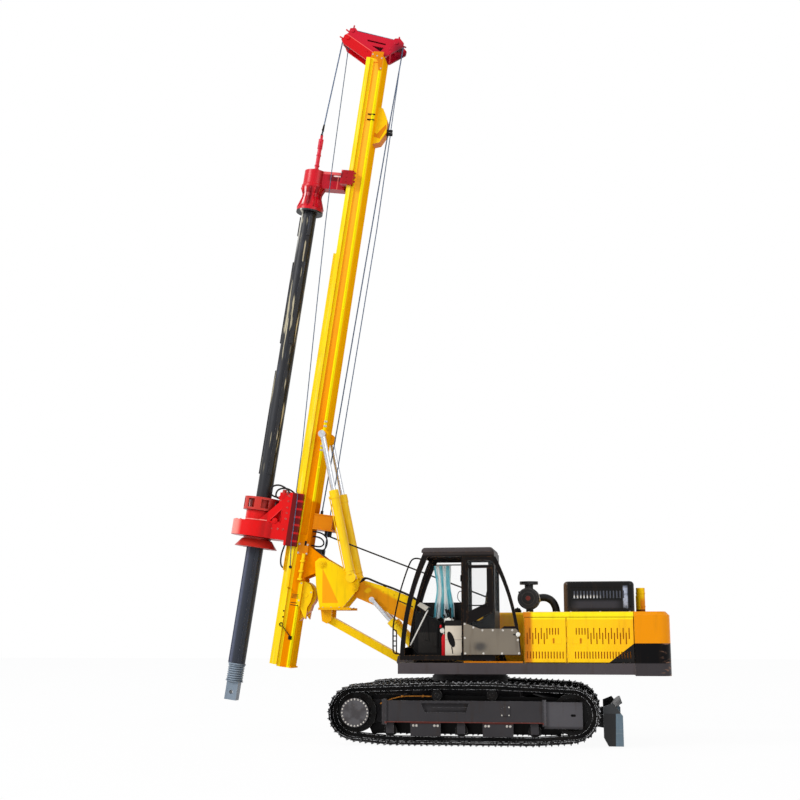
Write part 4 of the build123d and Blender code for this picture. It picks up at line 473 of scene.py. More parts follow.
frame_paint = Enamel("frame_paint", (62, 60, 62), (34, 32, 34), (150, 150, 152), worn=0.7, rough=0.5)
frame_x, frame_y, frame_z = frame_paint.axes()
frame_outside = frame_y.size().rise(1.300, 1.306)
frame_paint.zone(frame_z.inside(0.33, 0.362) * frame_outside * frame_x.inside(-1.27, 1.21), (98, 52, 46))
# Painted shade: the frame is near black below its flange, inboard of its outer face.
frame_paint.zone(frame_z.rise(0.335, 0.325) * frame_y.size().rise(1.29, 1.2), (26, 25, 26))
frame_paint.zone(frame_x.rise(-1.245, -1.262) * frame_z.rise(0.28, 0.32), (84, 82, 85))
dress(frame_paint.done(stain=0.3), "track_frame_left", "track_frame_right", "centre_frame", "slew_ring")

FRAME_FACE_Y, YOKE_FACE_Y, DRIVE_PIPE_Y = 1.315, 1.295, 1.20
soot_black = Enamel("soot_black", (22, 21, 22), (14, 14, 14), (90, 88, 86)).done()
brass = Enamel("brass_fittings", (214, 140, 62), (150, 92, 40), (230, 190, 120)).done()
for side, side_name in SIDES:
    face = side * FRAME_FACE_Y
    trim = Shape()
    # Cover plate with its knob, rims at the beam's two ends, its lower ledge and the pocket's rim
    trim.plate([(-0.74, 0.45), (-0.74, 0.60), (-0.66, 0.60), (-0.62, 0.57), (-0.60, 0.57),
                (-0.60, 0.45)], face, face + side * 0.010)
    trim.pin(-0.655, 0.605, face, face + side * 0.012, 0.022)
    for x in (-1.245, 1.185):
        trim.box(x - 0.012, x + 0.012, face - side * 0.02, face + side * 0.02, 0.30, 0.70)
    trim.box(-1.23, 1.17, face - side * 0.01, face + side * 0.012, 0.345, 0.362)
    trim.box(-0.09, 0.47, face - side * 0.02, face + side * 0.004, 0.572, 0.580)
    trim.ready("frame_trim_" + side_name, "undercarriage", "grey_paint", frame_paint.material, 0.004)
    bolts("cover_plate_bolts_" + side_name, "undercarriage",
        [(x, face + side * 0.010, z) for x, z in ((-0.725, 0.465), (-0.725, 0.585), (-0.615, 0.465))],
        (0, side, 0), 0.008, 0.006)
    # The yoke's grease hole, a long eye: a black plate that is a painted shade of its inside
    eye = Shape()
    eye.box(-1.72, -1.68, side * YOKE_FACE_Y, side * 1.298, 0.452, 0.488)
    for x in (-1.72, -1.68):
        eye.pin(x, 0.47, side * YOKE_FACE_Y, side * 1.298, 0.018)
    eye.ready("yoke_hole_shade_" + side_name, "undercarriage", "black_paint", soot_black)
    # Oil pipe to the drive motor, along the beam's top
    pipe = Shape()
    route = [(0.42, 0.676), (0.45, 0.735), (0.62, 0.74), (0.95, 0.735), (1.10, 0.70), (1.30, 0.62)]
    for (x0, z0), (x1, z1) in zip(route, route[1:]):
        pipe.bar((x0, side * DRIVE_PIPE_Y, z0), (x1, side * DRIVE_PIPE_Y, z1), 0.011, sides=10)
    for x, z in route[1:4]:
        pipe.bar((x - 0.018, side * DRIVE_PIPE_Y, z), (x + 0.018, side * DRIVE_PIPE_Y, z), 0.019, sides=6)
    pipe.ready("drive_pipe_" + side_name, "undercarriage", "grey_paint", brass)
    bolts("guard_bolts_" + side_name, "undercarriage", [(x + dx, side * 1.305, 0.30) for x in (0.57, -0.55)
        for dx in (-0.19, -0.14, 0.14, 0.19)], (0, side, 0), 0.013, 0.010)
    bolts("roller_caps_" + side_name, "undercarriage", [(x, side * 1.262, 0.23)
        for x in (1.13, 0.02, -1.11)], (0, side, 0), 0.030, 0.012)
    # A black sheet inside the track's loop stands in for the shade seen through its gaps: painted shade
    loop_shade_sheet = Shape()
    loop_shade_sheet.plate([(-1.50, 0.15), (-1.62, 0.48), (-1.50, 0.72), (1.46, 0.76), (1.62, 0.50), (1.46, 0.15),
                  (1.20, 0.16), (-1.20, 0.16)], side * 0.985, side * 0.990)
    loop_shade_sheet.ready("loop_shade_sheet_" + side_name, "undercarriage", "black_paint", soot_black)


# Dozer blade: a curved steel mouldboard welded to two arms at the rear, blue-grey and scraped paler near its
# foot. A black ram moves it.
blade_paint = Enamel("blade_paint", (98, 116, 128), (58, 68, 76), (190, 195, 198), worn=0.9, rough=0.42)
blade_x, _, blade_z = blade_paint.axes()
blade_scratch = blade_paint.noise(1.0, 6.0, blade_paint.stretched(3.0, 3.0, 40.0)).rise(0.56, 0.68)
blade_paint.zone(blade_scratch * blade_z.rise(0.40, 0.05), (150, 156, 160))
blade_paint.zone((blade_x - (0.5 - blade_z) * 0.03).rise(-2.345, -2.335), (20, 20, 22))
blade_paint.zone(blade_z.rise(0.500, 0.506), (44, 46, 48))
dress(blade_paint.done(specular=0.35, stain=0.25), "blade")
ram_black = Enamel("ram_black", (30, 30, 32), (20, 20, 21), (120, 118, 115)).done()
dress(ram_black, "blade_ram_barrel")


# Deck: the upper frame's welded steel platform on the slewing ring, in grey enamel that is walked on and
# dusty on top.
deck_paint = Enamel("deck_paint", (78, 72, 74), (38, 35, 36), (140, 136, 132), rough=0.46)
deck_z = deck_paint.axes()[2]
deck_tread = deck_paint.noise(22.0, 5.0).rise(0.42, 0.6) * deck_z.rise(1.245, 1.25)
deck_paint.zone(deck_tread, (96, 88, 80))
dress(deck_paint.done(stain=0.25), "deck_frame")


# Hood and counterweight: pressed doors and a lid bolted on the frame, and a cast weight behind them, all in
# yellow enamel with one black band that rises over the rear door and runs round the weight.
BAND_TOP_Z, BAND_START_X, BAND_SLOPE = 1.55, -2.65, 0.75
BAND_FOOT_Z = 1.25
HOOD_SIDE_Y = 1.31


def hood_finish(name, colour, painted_shade_colour):
    """The hood's enamel: its lip is lighter, a painted highlight; its front end is browner, a painted shadow
    of the cab; it turns orange towards the rear, a painted shade; and the band crosses it.
    """
    made = Enamel(name, colour, painted_shade_colour, (110, 84, 60), worn=0.55, rough=0.30)
    x, y, z = made.axes()
    side = y.size().rise(1.27, 1.29)
    # Painted shade: orange towards the rear, deepest on the weight.
    made.zone(x.rise(-2.0, -2.66) * 0.7, (252, 180, 10))
    made.zone(x.rise(-2.655, -2.665) * 0.9, (232, 138, 0))
    # Painted highlight: the side's lip is lighter.
    made.zone(side * z.rise(1.90, 1.925) * x.rise(-2.66, -2.64), (255, 226, 20))
    # Painted shadow of the cab: the side's front end is browner.
    cab_shadow_front = x.rise(-1.13, -1.06) * side
    made.zone(cab_shadow_front, (206, 120, 2))
    line = BAND_TOP_Z - (x - BAND_START_X).most(0.0) * BAND_SLOPE
    band = (line - z).rise(-0.003, 0.003) * x.rise(-2.1, -2.2)
    made.zone(band, (10, 8, 11))
    made.zone(band * z.rise(BAND_FOOT_Z + 0.01, BAND_FOOT_Z - 0.01), (62, 58, 60))
    rubbed = made.noise(1.0, 8.0, made.stretched(9.0, 9.0, 34.0)).rise(0.54, 0.74)
    made.zone(band * rubbed * x.rise(-3.0, -3.14) * 0.8, (150, 112, 92))
    return made


hood_yellow = hood_finish("hood_yellow", (255, 200, 12), (222, 140, 0))
hood_paint = hood_yellow.done(specular=0.18, coat=0.05)
dress(hood_paint, "hood_panel_right", "hood_top", "hood_frame", "hood_door_front", "hood_door_rear")
# The weight's enamel is the hood's yellow turned orange, a painted shade.
weight_shaded_yellow = hood_finish("weight_shaded_yellow", (240, 152, 6), (214, 120, 4))
dress(weight_shaded_yellow.done(specular=0.08, coat=0.04), "counterweight")

latch_brown = Enamel("latch_brown", (205, 120, 20), (150, 84, 14), (110, 80, 50)).done()
for door, x, plate_x in (("front", -1.428, -1.490), ("rear", -1.841, -1.775)):
    latch = Shape()
    latch.box(plate_x - 0.062, plate_x + 0.062, HOOD_SIDE_Y - 0.006, HOOD_SIDE_Y + 0.003, 1.540, 1.635)
    latch.ready("latch_plate_" + door, "hood_door_" + door, "yellow_paint", hood_paint, 0.002)
    handle = Shape()
    handle.box(x - 0.012, x + 0.012, HOOD_SIDE_Y - 0.004, HOOD_SIDE_Y + 0.008, 1.552, 1.625)
    handle.pin(x, 1.612, HOOD_SIDE_Y, HOOD_SIDE_Y + 0.012, 0.014)
    handle.ready("latch_handle_" + door, "hood_door_" + door, "black_paint", latch_brown, 0.002)
for door, x0, x1 in (("front", -1.600, -0.985), ("rear", -2.625, -1.650)):
    # Sheet inside the door, seen through its slots; its orange-brown is a painted shade of the hood's inside
    liner = Shape()
    liner.box(x0, x1, HOOD_SIDE_Y - 0.036, HOOD_SIDE_Y - 0.028, 1.285, 1.925)
    liner.ready("door_shade_sheet_" + door, "hood_door_" + door, "yellow_paint", latch_brown, 0.002)
bolts("hood_top_bolts", "upper", [(x, y, 2.03) for x in (-2.60, -2.15, -1.70, -1.05)
    for y in (-1.24, 1.24)] + [(x, y, 2.03) for x in (-1.50, -1.05) for y in (-0.6, 0.0)], (0, 0, 1), 0.012,
    0.008, material=bolt_steel.material)


# Engine cover: a moulded box hinged over the engine in glossy black enamel, with a panel of slots in each
# side and wear on its rounded corners. A painted reflection makes its front end browner and its rear end and
# lower side paler.
cover_black = Enamel("cover_black", (7, 6, 7), (5, 4, 5), (120, 88, 70), worn=0.22, rough=0.20, chip=0.008)
cover_dust = cover_black.noise(3.0, 5.0).rise(0.5, 0.72)
cover_x, _, cover_z = cover_black.axes()
cover_black.zone(cover_dust * cover_z.rise(2.2, 2.06) * 0.6, (70, 62, 58))
# Painted reflection: the front end is browner, and the rear end and lower side are paler.
cover_black.zone(cover_x.rise(-1.665, -1.60) * 0.7, (104, 82, 64))
cover_painted_reflection = cover_x.inside(-2.585, -2.515, 0.012) * cover_z.inside(2.10, 2.43, 0.03)
cover_black.zone(cover_painted_reflection * cover_black.noise(9.0).rise(0.34, 0.60), (170, 182, 206))
cover_black.zone(cover_z.inside(2.09, 2.21, 0.03) * cover_x.inside(-2.45, -1.75, 0.1) * 0.5, (74, 74, 84))
cover_paint = cover_black.done(specular=0.18, coat=0.04)
dress(cover_paint, "engine_cover")
COVER_FACE_Y = 0.750
cover_trim = Shape()
for side in (1, -1):
    face = side * COVER_FACE_Y
    # A raised bead round the slotted panel, and two catches
    for x0, x1, z0, z1 in ((-2.60, -1.68, 2.420, 2.432), (-2.60, -1.68, 2.085, 2.097),
                           (-2.606, -2.594, 2.085, 2.432), (-1.686, -1.674, 2.085, 2.432)):
        cover_trim.box(x0, x1, face - side * 0.01, face + side * 0.006, z0, z1)
    for x in (-2.64, -1.63):
        cover_trim.pin(x, 2.12, face - side * 0.01, face + side * 0.012, 0.014)
        cover_trim.pin(x, 2.40, face - side * 0.01, face + side * 0.010, 0.010)
cover_trim.ready("cover_trim", "engine_cover", "black_paint", cover_paint, 0.003)


# Louvre blades: moulded strips of a lighter plastic, clipped into the cover's slots. Those towards the back
# are near white at their foot, a painted reflection.
blade_grey = Enamel("blade_grey", (84, 90, 104), (60, 64, 72), (90, 90, 90))
blade_x, _, blade_z = blade_grey.axes()
blade_grey.zone(blade_z.rise(2.315, 2.275) * blade_x.rise(-2.22, -2.02), (226, 230, 236))
LOUVRES, FIRST_LOUVRE_X, LOUVRE_SPAN = 16, -1.750, 0.770
louvres = Shape()
for side in (1, -1):
    for k in range(LOUVRES):
        x = FIRST_LOUVRE_X - k * LOUVRE_SPAN / (LOUVRES - 1)
        louvres.box(x - 0.0115, x + 0.0115, side * 0.728, side * 0.743, 2.2505, 2.3695)
louvres.ready("cover_louvres", "engine_cover", "grey_paint", blade_grey.done())


# Engine, exhaust and air cleaner: a cast engine, a round steel stack in yellow enamel, browner on its rear
# half as a painted shade, and a moulded black drum with a rain cap that feeds the engine through a
# rubber duct.
iron = Enamel("engine_iron", (70, 72, 70), (36, 36, 36), (110, 100, 92), rough=0.6).done()
dress(iron, "engine_block")
stack_yellow = Enamel("stack_yellow", (255, 212, 0), (226, 150, 0), (150, 110, 60))
stack_x, _, stack_z = stack_yellow.axes()
# Painted shade: the stack's rear half is orange below its top.
stack_yellow.zone(stack_x.rise(-2.785, -2.797) * stack_z.rise(2.30, 2.20), (228, 140, 0))
stack_yellow.zone(stack_z.rise(2.09, 2.075), (120, 66, 20))
stack_paint = stack_yellow.done()
dress(stack_paint, "exhaust_stack")
stack_trim = Shape()
for z in (2.13, 2.34):
    stack_trim.post(-2.8, 0.3, z - 0.012, z + 0.012, 0.0745, sides=32)
stack_trim.box(-2.745, -2.722, 0.28, 0.32, 2.04, 2.30)
stack_trim.ready("stack_trim", "upper", "yellow_paint", stack_paint, 0.002)

CLEANER_X, CLEANER_Z = -1.010, 2.260
cleaner_black = Enamel("cleaner_black", (34, 34, 36), (20, 20, 22), (90, 84, 80), worn=0.35, rough=0.42)
cleaner_x, cleaner_y, cleaner_z = cleaner_black.axes()
cleaner_reach = ((cleaner_x - CLEANER_X) ** 2 + (cleaner_z - CLEANER_Z) ** 2) ** 0.5
cleaner_end = cleaner_y.rise(0.612, 0.618)
for ring_in, ring_out, ring_tone in (
    (0.145, 0.156, (70, 66, 66)), (0.094, 0.104, (64, 60, 60)), (0.048, 0.094, (20, 19, 20)),
):
    cleaner_black.zone(cleaner_end * cleaner_reach.inside(ring_in, ring_out, 0.003), ring_tone)
cleaner_black.zone(cleaner_end * cleaner_reach.rise(0.042, 0.034), (118, 44, 36))
cleaner_plastic = cleaner_black.done(specular=0.3)
dress(cleaner_plastic, "air_cleaner")
cleaner_trim = Shape()
for radius, reach in ((0.158, 0.012), (0.100, 0.016), (0.040, 0.020)):
    cleaner_trim.pin(CLEANER_X, CLEANER_Z, 0.615, 0.62 + reach, radius, radius - 0.006, sides=40)
for turn in (0.6, 1.6, 3.6, 4.8):
    # Sprung clips that hold the end on
    x, z = CLEANER_X + 0.172 * math.cos(turn), CLEANER_Z + 0.172 * math.sin(turn)
    cleaner_trim.box(x - 0.012, x + 0.012, 0.55, 0.63, z - 0.012, z + 0.012)
for y in (0.16, 0.30, 0.50):
    cleaner_trim.pin(CLEANER_X, CLEANER_Z, y, y + 0.03, 0.1755, sides=40)
cleaner_trim.ready("cleaner_trim", "upper", "black_paint", cleaner_plastic, 0.002)


def tube(name, body, material, points, radius):
    """A smooth round tube that those points steer, in metres."""
    curve = bpy.data.curves.new(name, "CURVE")
    curve.dimensions = "3D"
    curve.bevel_depth = radius
    curve.bevel_resolution = 4
    curve.resolution_u = 8
    curve.use_fill_caps = True
    spline = curve.splines.new("NURBS")
    spline.points.add(len(points) - 1)
    for point, place in zip(spline.points, points):
        point.co = (*place, 1.0)
    spline.order_u = 3
    spline.use_endpoint_u = True
    curve.materials.append(material)
    made = placed(name, curve)
    return fit(made, body)


rubber = Finish("hose_rubber")
rubber_grain = rubber.noise(120.0)
rubber_scuff = rubber.noise(9.0, 5.0).rise(0.52, 0.68)
rubber.set(Base_Color=rubber_scuff.blend(shade(26, 26, 28), shade(58, 55, 52)),
    Roughness=0.5 + rubber_scuff * 0.2, Specular_IOR_Level=0.25, Normal=rubber.bump(rubber_grain, 0.0008))
duct = tube("intake_duct", "upper", rubber.material,
    [(x, 0.42, z) for x, z in ((-1.150, 2.262), (-1.255, 2.290), (-1.385, 2.235), (-1.452, 2.110),
    (-1.455, 2.012))], 0.060)
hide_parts("intake_hose")
duct_bands = Shape()
duct_bands.post(-1.455, 0.42, 2.030, 2.052, 0.066, sides=32)
duct_bands.bar((-1.172, 0.42, 2.268), (-1.194, 0.42, 2.273), 0.066, sides=32)
duct_bands.ready("duct_clamps", "upper", "track_steel", bolt_steel.material, 0.001)


# Tanks and winch: welded plate tanks on the right side with filler caps and a grab rail, and the hoist winch
# behind the boom's foot, with steel rope wound on its drum.
body_yellow = Enamel("body_yellow", (255, 200, 12), (216, 132, 4), (120, 96, 70))
body_yellow_paint = body_yellow.done(specular=0.18)
dress(body_yellow_paint, "side_tanks")
tank_trim = Shape()
for x, y, z in ((-0.75, -0.80, 2.060), (0.62, -0.75, 1.900)):
    tank_trim.post(x, y, z - 0.01, z + 0.045, 0.065, sides=32)
    tank_trim.post(x, y, z + 0.045, z + 0.075, 0.052, 0.046, sides=32)
    tank_trim.box(x - 0.012, x + 0.012, y - 0.05, y + 0.05, z + 0.070, z + 0.088)
for x in (-0.60, -0.30):
    tank_trim.box(x - 0.015, x + 0.015, -1.312, -1.306, 1.40, 1.95)
tank_trim.ready("tank_caps", "upper", "black_paint", soot_black, 0.003)
tube("grab_rail", "upper", soot_black, [(x, -1.24, z) for x,
    z in ((0.30, 1.895), (0.30, 2.02), (0.36, 2.10), (0.74, 2.10), (0.80, 2.02), (0.80, 1.895))], 0.014)

WINCH_X, WINCH_Z, WINCH_DRUM = -0.33, 1.56, 0.15
winch_iron = Enamel("winch_iron", (44, 44, 46), (24, 24, 25), (140, 138, 134), rough=0.5)
winch_paint = winch_iron.done()
dress(winch_paint, "main_winch")
rope_black = Finish("rope_black")
rope_grain = rope_black.noise(160.0)
rope_black.set(Base_Color=rope_grain.rise(0.35, 0.65).blend(shade(60, 52, 46), shade(26, 24, 22)),
    Roughness=0.5, Metallic=0.35, Normal=rope_black.bump(rope_grain, 0.0006))

turns_tree = Grower("rope_turns", Centre=("Vector", None), Drum=("Float", 0.15), Rope=("Float", 0.012),
    Width=("Float", 0.34), Turns=("Float", 12.0), Material=("Material", None))
turns_spiral = turns_tree.add("GeometryNodeCurveSpiral",
    {"Resolution": 28, "Rotations": turns_tree.given["Turns"], "Start Radius": turns_tree.given["Drum"],
    "End Radius": turns_tree.given["Drum"], "Height": turns_tree.given["Width"]})
turns_laid = turns_tree.add("GeometryNodeTransform", {"Geometry": turns_spiral[0],
    "Translation": turns_tree.given["Centre"], "Rotation": (math.pi / 2, 0, 0)})
turns_round = turns_tree.add("GeometryNodeCurvePrimitiveCircle",
    {"Resolution": 8, "Radius": turns_tree.given["Rope"]})
turns_tube = turns_tree.add("GeometryNodeCurveToMesh", {0: turns_laid[0], 1: turns_round[0],
    "Fill Caps": True})
turns_tree = turns_tree.end(turns_tube[0])


def wound_rope(name, body, centre, drum, rope, width):
    """A layer of rope on a drum that lies across the rig."""
    base = placed(name + "_base", bpy.data.meshes.new(name))
    start = (centre[0], centre[1] + width / 2, centre[2])
    wound = grow(name, base, turns_tree, Centre=start, Drum=drum + rope, Rope=rope, Width=width,
                 Turns=width / (2.1 * rope), Material=rope_black.material)
    return fit(wound, body)


wound_rope("hoist_turns", "upper", (WINCH_X, 0, WINCH_Z), WINCH_DRUM, 0.012, 0.36)


# Cab: a welded frame of dark pillars worn bronze on their edges, a wear that also stands in for the light on
# those edges as a painted highlight, with a roof pressing, clear panes, and the doorway on the left. Its door
# folds back against its side and has a bolted skin plate.
# Painted highlight: the bronze edge chips stand in for light on the edges as well as wear.
cab_paint = Enamel(
    "cab_paint", (22, 19, 19), (14, 12, 12), (150, 106, 66), worn=0.9, rough=0.42, chip=0.009
)
cab_z = cab_paint.axes()[2]
cab_paint.zone(cab_z.rise(2.90, 2.94), (56, 50, 49))
cab_frame_paint = cab_paint.done(stain=0.25)
dress(cab_frame_paint, "cab_shell", "cab_door")
roof_paint = Enamel("roof_paint", (74, 68, 68), (44, 40, 40), (130, 104, 84), worn=0.6, rough=0.5)
dress(roof_paint.done(stain=0.2), "cab_roof")

pane = Finish("window_glass")
pane_film = pane.noise(3.0, 4.0).rise(0.45, 0.75)
dress(pane.set(Base_Color=pane_film.blend(shade(120, 130, 132), shade(160, 168, 170)), Roughness=0.06,
    Alpha=0.03, Specular_IOR_Level=0.12, Normal=pane.bump(pane_film, 0.0006)), "cab_glass", "door_glass")
pane.material.surface_render_method = "BLENDED"

DOOR_FACE_Y = 1.401
skin_grey = Enamel("skin_grey", (124, 115, 102), (78, 72, 68), (150, 140, 130), worn=0.6, rough=0.5)
skin_x, _, skin_z = skin_grey.axes()
skin_patch = ((skin_x + 0.30) ** 2 + ((skin_z - 1.50) * 1.5) ** 2) ** 0.5
skin_patch = (skin_patch + skin_grey.noise(6.0, 4.0) * 0.12).rise(0.22, 0.08)
skin_grey.zone(skin_patch * 0.75, (58, 58, 60))
skin = Shape()
skin.plate([(-0.046, 1.867), (-0.302, 1.770), (-0.855, 1.772), (-0.886, 1.742), (-0.919, 1.378),
            (-0.046, 1.378)], DOOR_FACE_Y, DOOR_FACE_Y + 0.005)
skin.ready("door_skin", "cab_door", "cab_trim", skin_grey.done(stain=0.3), 0.002)
bolts("door_skin_bolts", "cab_door", [(x, DOOR_FACE_Y + 0.005, z) for x, z in (
          (-0.066, 1.845), (-0.197, 1.790), (-0.340, 1.748), (-0.500, 1.748), (-0.655, 1.748),
          (-0.800, 1.748), (-0.885, 1.600), (-0.900, 1.398), (-0.637, 1.396), (-0.351, 1.396),
          (-0.068, 1.396), (-0.066, 1.630))], (0, 1, 0), 0.012, 0.006)

white_trim = Enamel("white_trim", (238, 236, 228), (170, 165, 158), (120, 116, 110)).done()
latch = Shape()
latch.pin(-0.890, 1.683, DOOR_FACE_Y + 0.005, DOOR_FACE_Y + 0.022, 0.036, 0.030, 28)
latch.pin(-0.890, 1.683, DOOR_FACE_Y + 0.022, DOOR_FACE_Y + 0.027, 0.012, sides=16)
latch.ready("door_latch", "cab_door", "cab_trim", white_trim, 0.002)
door_bits = Shape()
door_bits.box(-0.860, -0.815, DOOR_FACE_Y + 0.004, DOOR_FACE_Y + 0.014, 1.672, 1.690)
door_bits.bar((-0.10, DOOR_FACE_Y + 0.010, 2.128), (-0.42, DOOR_FACE_Y + 0.010, 2.128), 0.010)
for x in (-0.10, -0.42):
    door_bits.pin(x, 2.128, DOOR_FACE_Y - 0.008, DOOR_FACE_Y + 0.012, 0.013)
for z in (1.36, 2.55):
    door_bits.post(-0.012, 1.372, z - 0.05, z + 0.05, 0.014, sides=16)
door_bits.ready("door_fittings", "cab_door", "black_paint", soot_black, 0.002)

# Inner frame of the door's sliding pane
inner_frame = Shape()
inner_frame.box(-0.116, -0.045, 1.385, 1.397, 1.900, 2.755)
inner_frame.box(-0.509, -0.116, 1.385, 1.397, 2.705, 2.755)
inner_frame.box(-0.509, -0.414, 1.385, 1.397, 2.170, 2.705)
inner_frame.plate([(-0.045, 1.860), (-0.045, 2.030), (-0.116, 2.030), (-0.414, 2.170), (-0.509, 2.170),
                   (-0.509, 2.045), (-0.177, 1.860)], 1.384, 1.396)
inner_frame.ready("door_inner_frame", "cab_door", "black_paint", cab_frame_paint, 0.004)

# The sill's rubbed edge under the door
sill = Shape()
sill.box(-0.955, -0.035, 1.300, 1.322, 1.252, 1.277)
sill.ready("sill_strip", "upper", "yellow_paint",
           Enamel("sill_orange", (214, 124, 14), (120, 66, 12), (60, 50, 40), worn=1.0)
           .done(stain=0.6), 0.002)

# Guard rail before the windscreen with three rungs and a stay, and the curtain's rail behind the right window
GUARD_RAIL_Y, CURTAIN_RAIL_Y, CURTAIN_RAIL_Z = 1.18, 0.455, 2.812
rail_front = tube("guard_rail", "upper", cab_frame_paint,
    [(x, GUARD_RAIL_Y, z) for x, z in ((0.965, 1.380), (1.040, 1.385), (1.098, 1.400), (1.100, 1.560),
    (1.100, 1.833), (1.052, 2.068), (0.988, 2.350), (0.923, 2.555), (0.850, 2.760), (0.795, 2.870),
    (0.700, 2.885), (0.640, 2.860))], 0.012)
rail_parts = Shape()
rail_parts.post(1.044, GUARD_RAIL_Y, 1.392, 1.740, 0.010, sides=16)
rail_parts.bar((1.044, GUARD_RAIL_Y, 1.740), (1.100, GUARD_RAIL_Y, 1.770), 0.010, sides=16)
for z in (1.662, 1.584, 1.507):
    rail_parts.bar((1.044, GUARD_RAIL_Y, z), (1.100, GUARD_RAIL_Y, z), 0.009, sides=16)
rail_parts.bar((1.020, GUARD_RAIL_Y, 2.217), (0.779, GUARD_RAIL_Y, 2.114), 0.009, sides=16)
rail_parts.bar((-0.020, CURTAIN_RAIL_Y, CURTAIN_RAIL_Z), (0.560, CURTAIN_RAIL_Y, CURTAIN_RAIL_Z), 0.010)
for x in (-0.020, 0.560):
    rail_parts.pin(x, CURTAIN_RAIL_Z, 0.400, 0.465, 0.014)
rail_parts.ready("cab_rail_parts", "upper", "black_paint", cab_frame_paint)
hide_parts("cab_rails")

# Consoles, levers, display and the small things a driver keeps at hand
console_black = Enamel("console_black", (26, 25, 25), (16, 15, 15), (96, 90, 84), worn=0.3, rough=0.5)
console_x, console_y, console_z = console_black.axes()
console_side = console_y.rise(1.04, 1.06) * console_z.rise(1.822, 1.815)
console_black.zone(console_side, (208, 196, 178))
console_black.zone(console_side * console_z.inside(1.600, 1.606, 0.002), (120, 108, 96))
console_black.zone(console_y.rise(1.0, 0.9) * console_x.inside(0.46, 0.76) * console_z.inside(1.40, 1.72)
    * 0.3, (74, 70, 66))
console_trim = console_black.done(specular=0.15)
dress(console_trim, "cab_consoles", "seat_base")

dash = Shape()
dash.plate([(0.800, 2.060), (0.620, 1.995), (0.400, 1.885), (0.330, 1.780), (0.300, 1.345), (0.840, 1.345)],
           0.470, 0.740)
dash.box(0.055, 0.770, 0.408, 0.420, 1.345, 2.205)
dash.plate([(0.430, 1.860), (0.520, 1.900), (0.500, 1.500), (0.440, 1.480)], 0.740, 0.760)
dash.plate([(0.600, 1.930), (0.700, 1.960), (0.660, 1.600), (0.580, 1.580)], 0.740, 0.752)
dash.ready("cab_dash", "upper", "cab_trim", console_trim, 0.015)

controls = Shape()
for y in (0.86, 1.175):
    controls.bar((0.203, y, 1.900), (0.236, y, 2.015), 0.020, 0.013, 16)
    controls.bar((0.236, y, 2.015), (0.262, y, 2.080), 0.018, 0.014, 16)
controls.bar((0.292, 0.80, 1.905), (0.343, 0.80, 2.002), 0.022, 0.014, 16)
controls.bar((0.734, 0.95, 1.365), (0.853, 0.95, 1.512), 0.012, sides=14)
controls.plate([(0.165 + 0.050 * math.cos(math.tau * k / 24) + 0.035 * math.sin(math.tau * k / 24),
                 1.610 + 0.120 * math.sin(math.tau * k / 24)) for k in range(24)], 1.270, 1.276)
controls.plate([(0.150, 1.500), (0.165, 1.500), (0.145, 1.390), (0.135, 1.390)], 1.270, 1.276)
controls.ready("cab_controls", "upper", "cab_trim", soot_black, 0.001)
gaiters = Shape()
for x, y in ((0.203, 0.86), (0.203, 1.175), (0.292, 0.80)):
    gaiters.bar((x - 0.004, y, 1.895), (x + 0.02, y, 1.945), 0.045, 0.020, 18)
gaiters.box(0.165, 0.262, 1.10, 1.25, 1.900, 1.926)
gaiters.bar((0.571, 0.95, 2.071), (0.855, 0.95, 1.514), 0.013, sides=16)
gaiters.ready("cab_pale_trim", "upper", "cab_trim", white_trim, 0.001)

display = Shape()
display.plate([(0.697, 2.193), (0.560, 2.113), (0.604, 2.052), (0.744, 2.142)], 0.75, 0.98)
display.ready("display_case", "upper", "cab_trim",
              Enamel("display_beige", (204, 198, 184), (150, 142, 128), (110, 104, 96)).done(),
              0.008)
screen = Shape()
screen.plate([(0.554, 2.106), (0.598, 2.046), (0.602, 2.049), (0.558, 2.109)], 0.77, 0.96)
screen.bar((0.66, 0.86, 2.10), (0.62, 0.86, 1.95), 0.016)
screen.ready("display_screen", "upper", "cab_trim", soot_black)

red_enamel = Enamel("red_trim", (214, 30, 40), (130, 10, 20), (120, 60, 60)).done()
bottle = Shape()
bottle.post(0.300, 1.10, 1.345, 1.640, 0.036, sides=28)
bottle.post(0.300, 1.10, 1.640, 1.690, 0.036, 0.014, 28)
bottle.post(0.344, 1.12, 1.790, 1.835, 0.020, 0.016, 20)
bottle.ready("extinguisher", "upper", "red_paint", red_enamel, 0.002)
bottle_top = Shape()
bottle_top.bar((0.300, 1.10, 1.690), (0.322, 1.10, 1.790), 0.012, sides=14)
bottle_top.pin(0.322, 1.745, 1.095, 1.125, 0.040, 0.036, 24)
bottle_top.ready("extinguisher_gauge", "upper", "cab_trim", white_trim, 0.002)

# A wire loop for the driver's bag, hung on the right window's frame
tube("bag_hook", "upper", soot_black,
     [(0.060, 0.42, 2.150), (0.088, 0.47, 2.200), (0.145, 0.47, 2.250), (0.146, 0.47, 2.340),
      (0.100, 0.47, 2.402), (0.055, 0.42, 2.360)], 0.006)


# Seat: a foam cushion and back in a hard-worn olive cloth, swollen by their stuffing. They are screwed to the
# seat's base.
seat_cloth = Finish("seat_cloth")
cloth_x, cloth_y, cloth_z = seat_cloth.axes()
WEAVE = 1500.0
cloth_weave = (cloth_x * WEAVE).wave() * (cloth_y * WEAVE).wave() * (cloth_z * WEAVE).wave()
cloth_fade = seat_cloth.noise(5.0, 5.0).rise(0.38, 0.68)
seat_cloth.set(Base_Color=cloth_fade.blend(shade(58, 56, 42), shade(104, 98, 74)), Roughness=0.85,
    Specular_IOR_Level=0.15, Normal=seat_cloth.bump(cloth_weave + seat_cloth.noise(40.0, 4.0), 0.002))
PAD_VOXEL, PAD_SLACK, PAD_SWELL, PAD_FRAMES, PAD_PRESSURE = 0.009, 0.012, 0.010, 20, 4.0


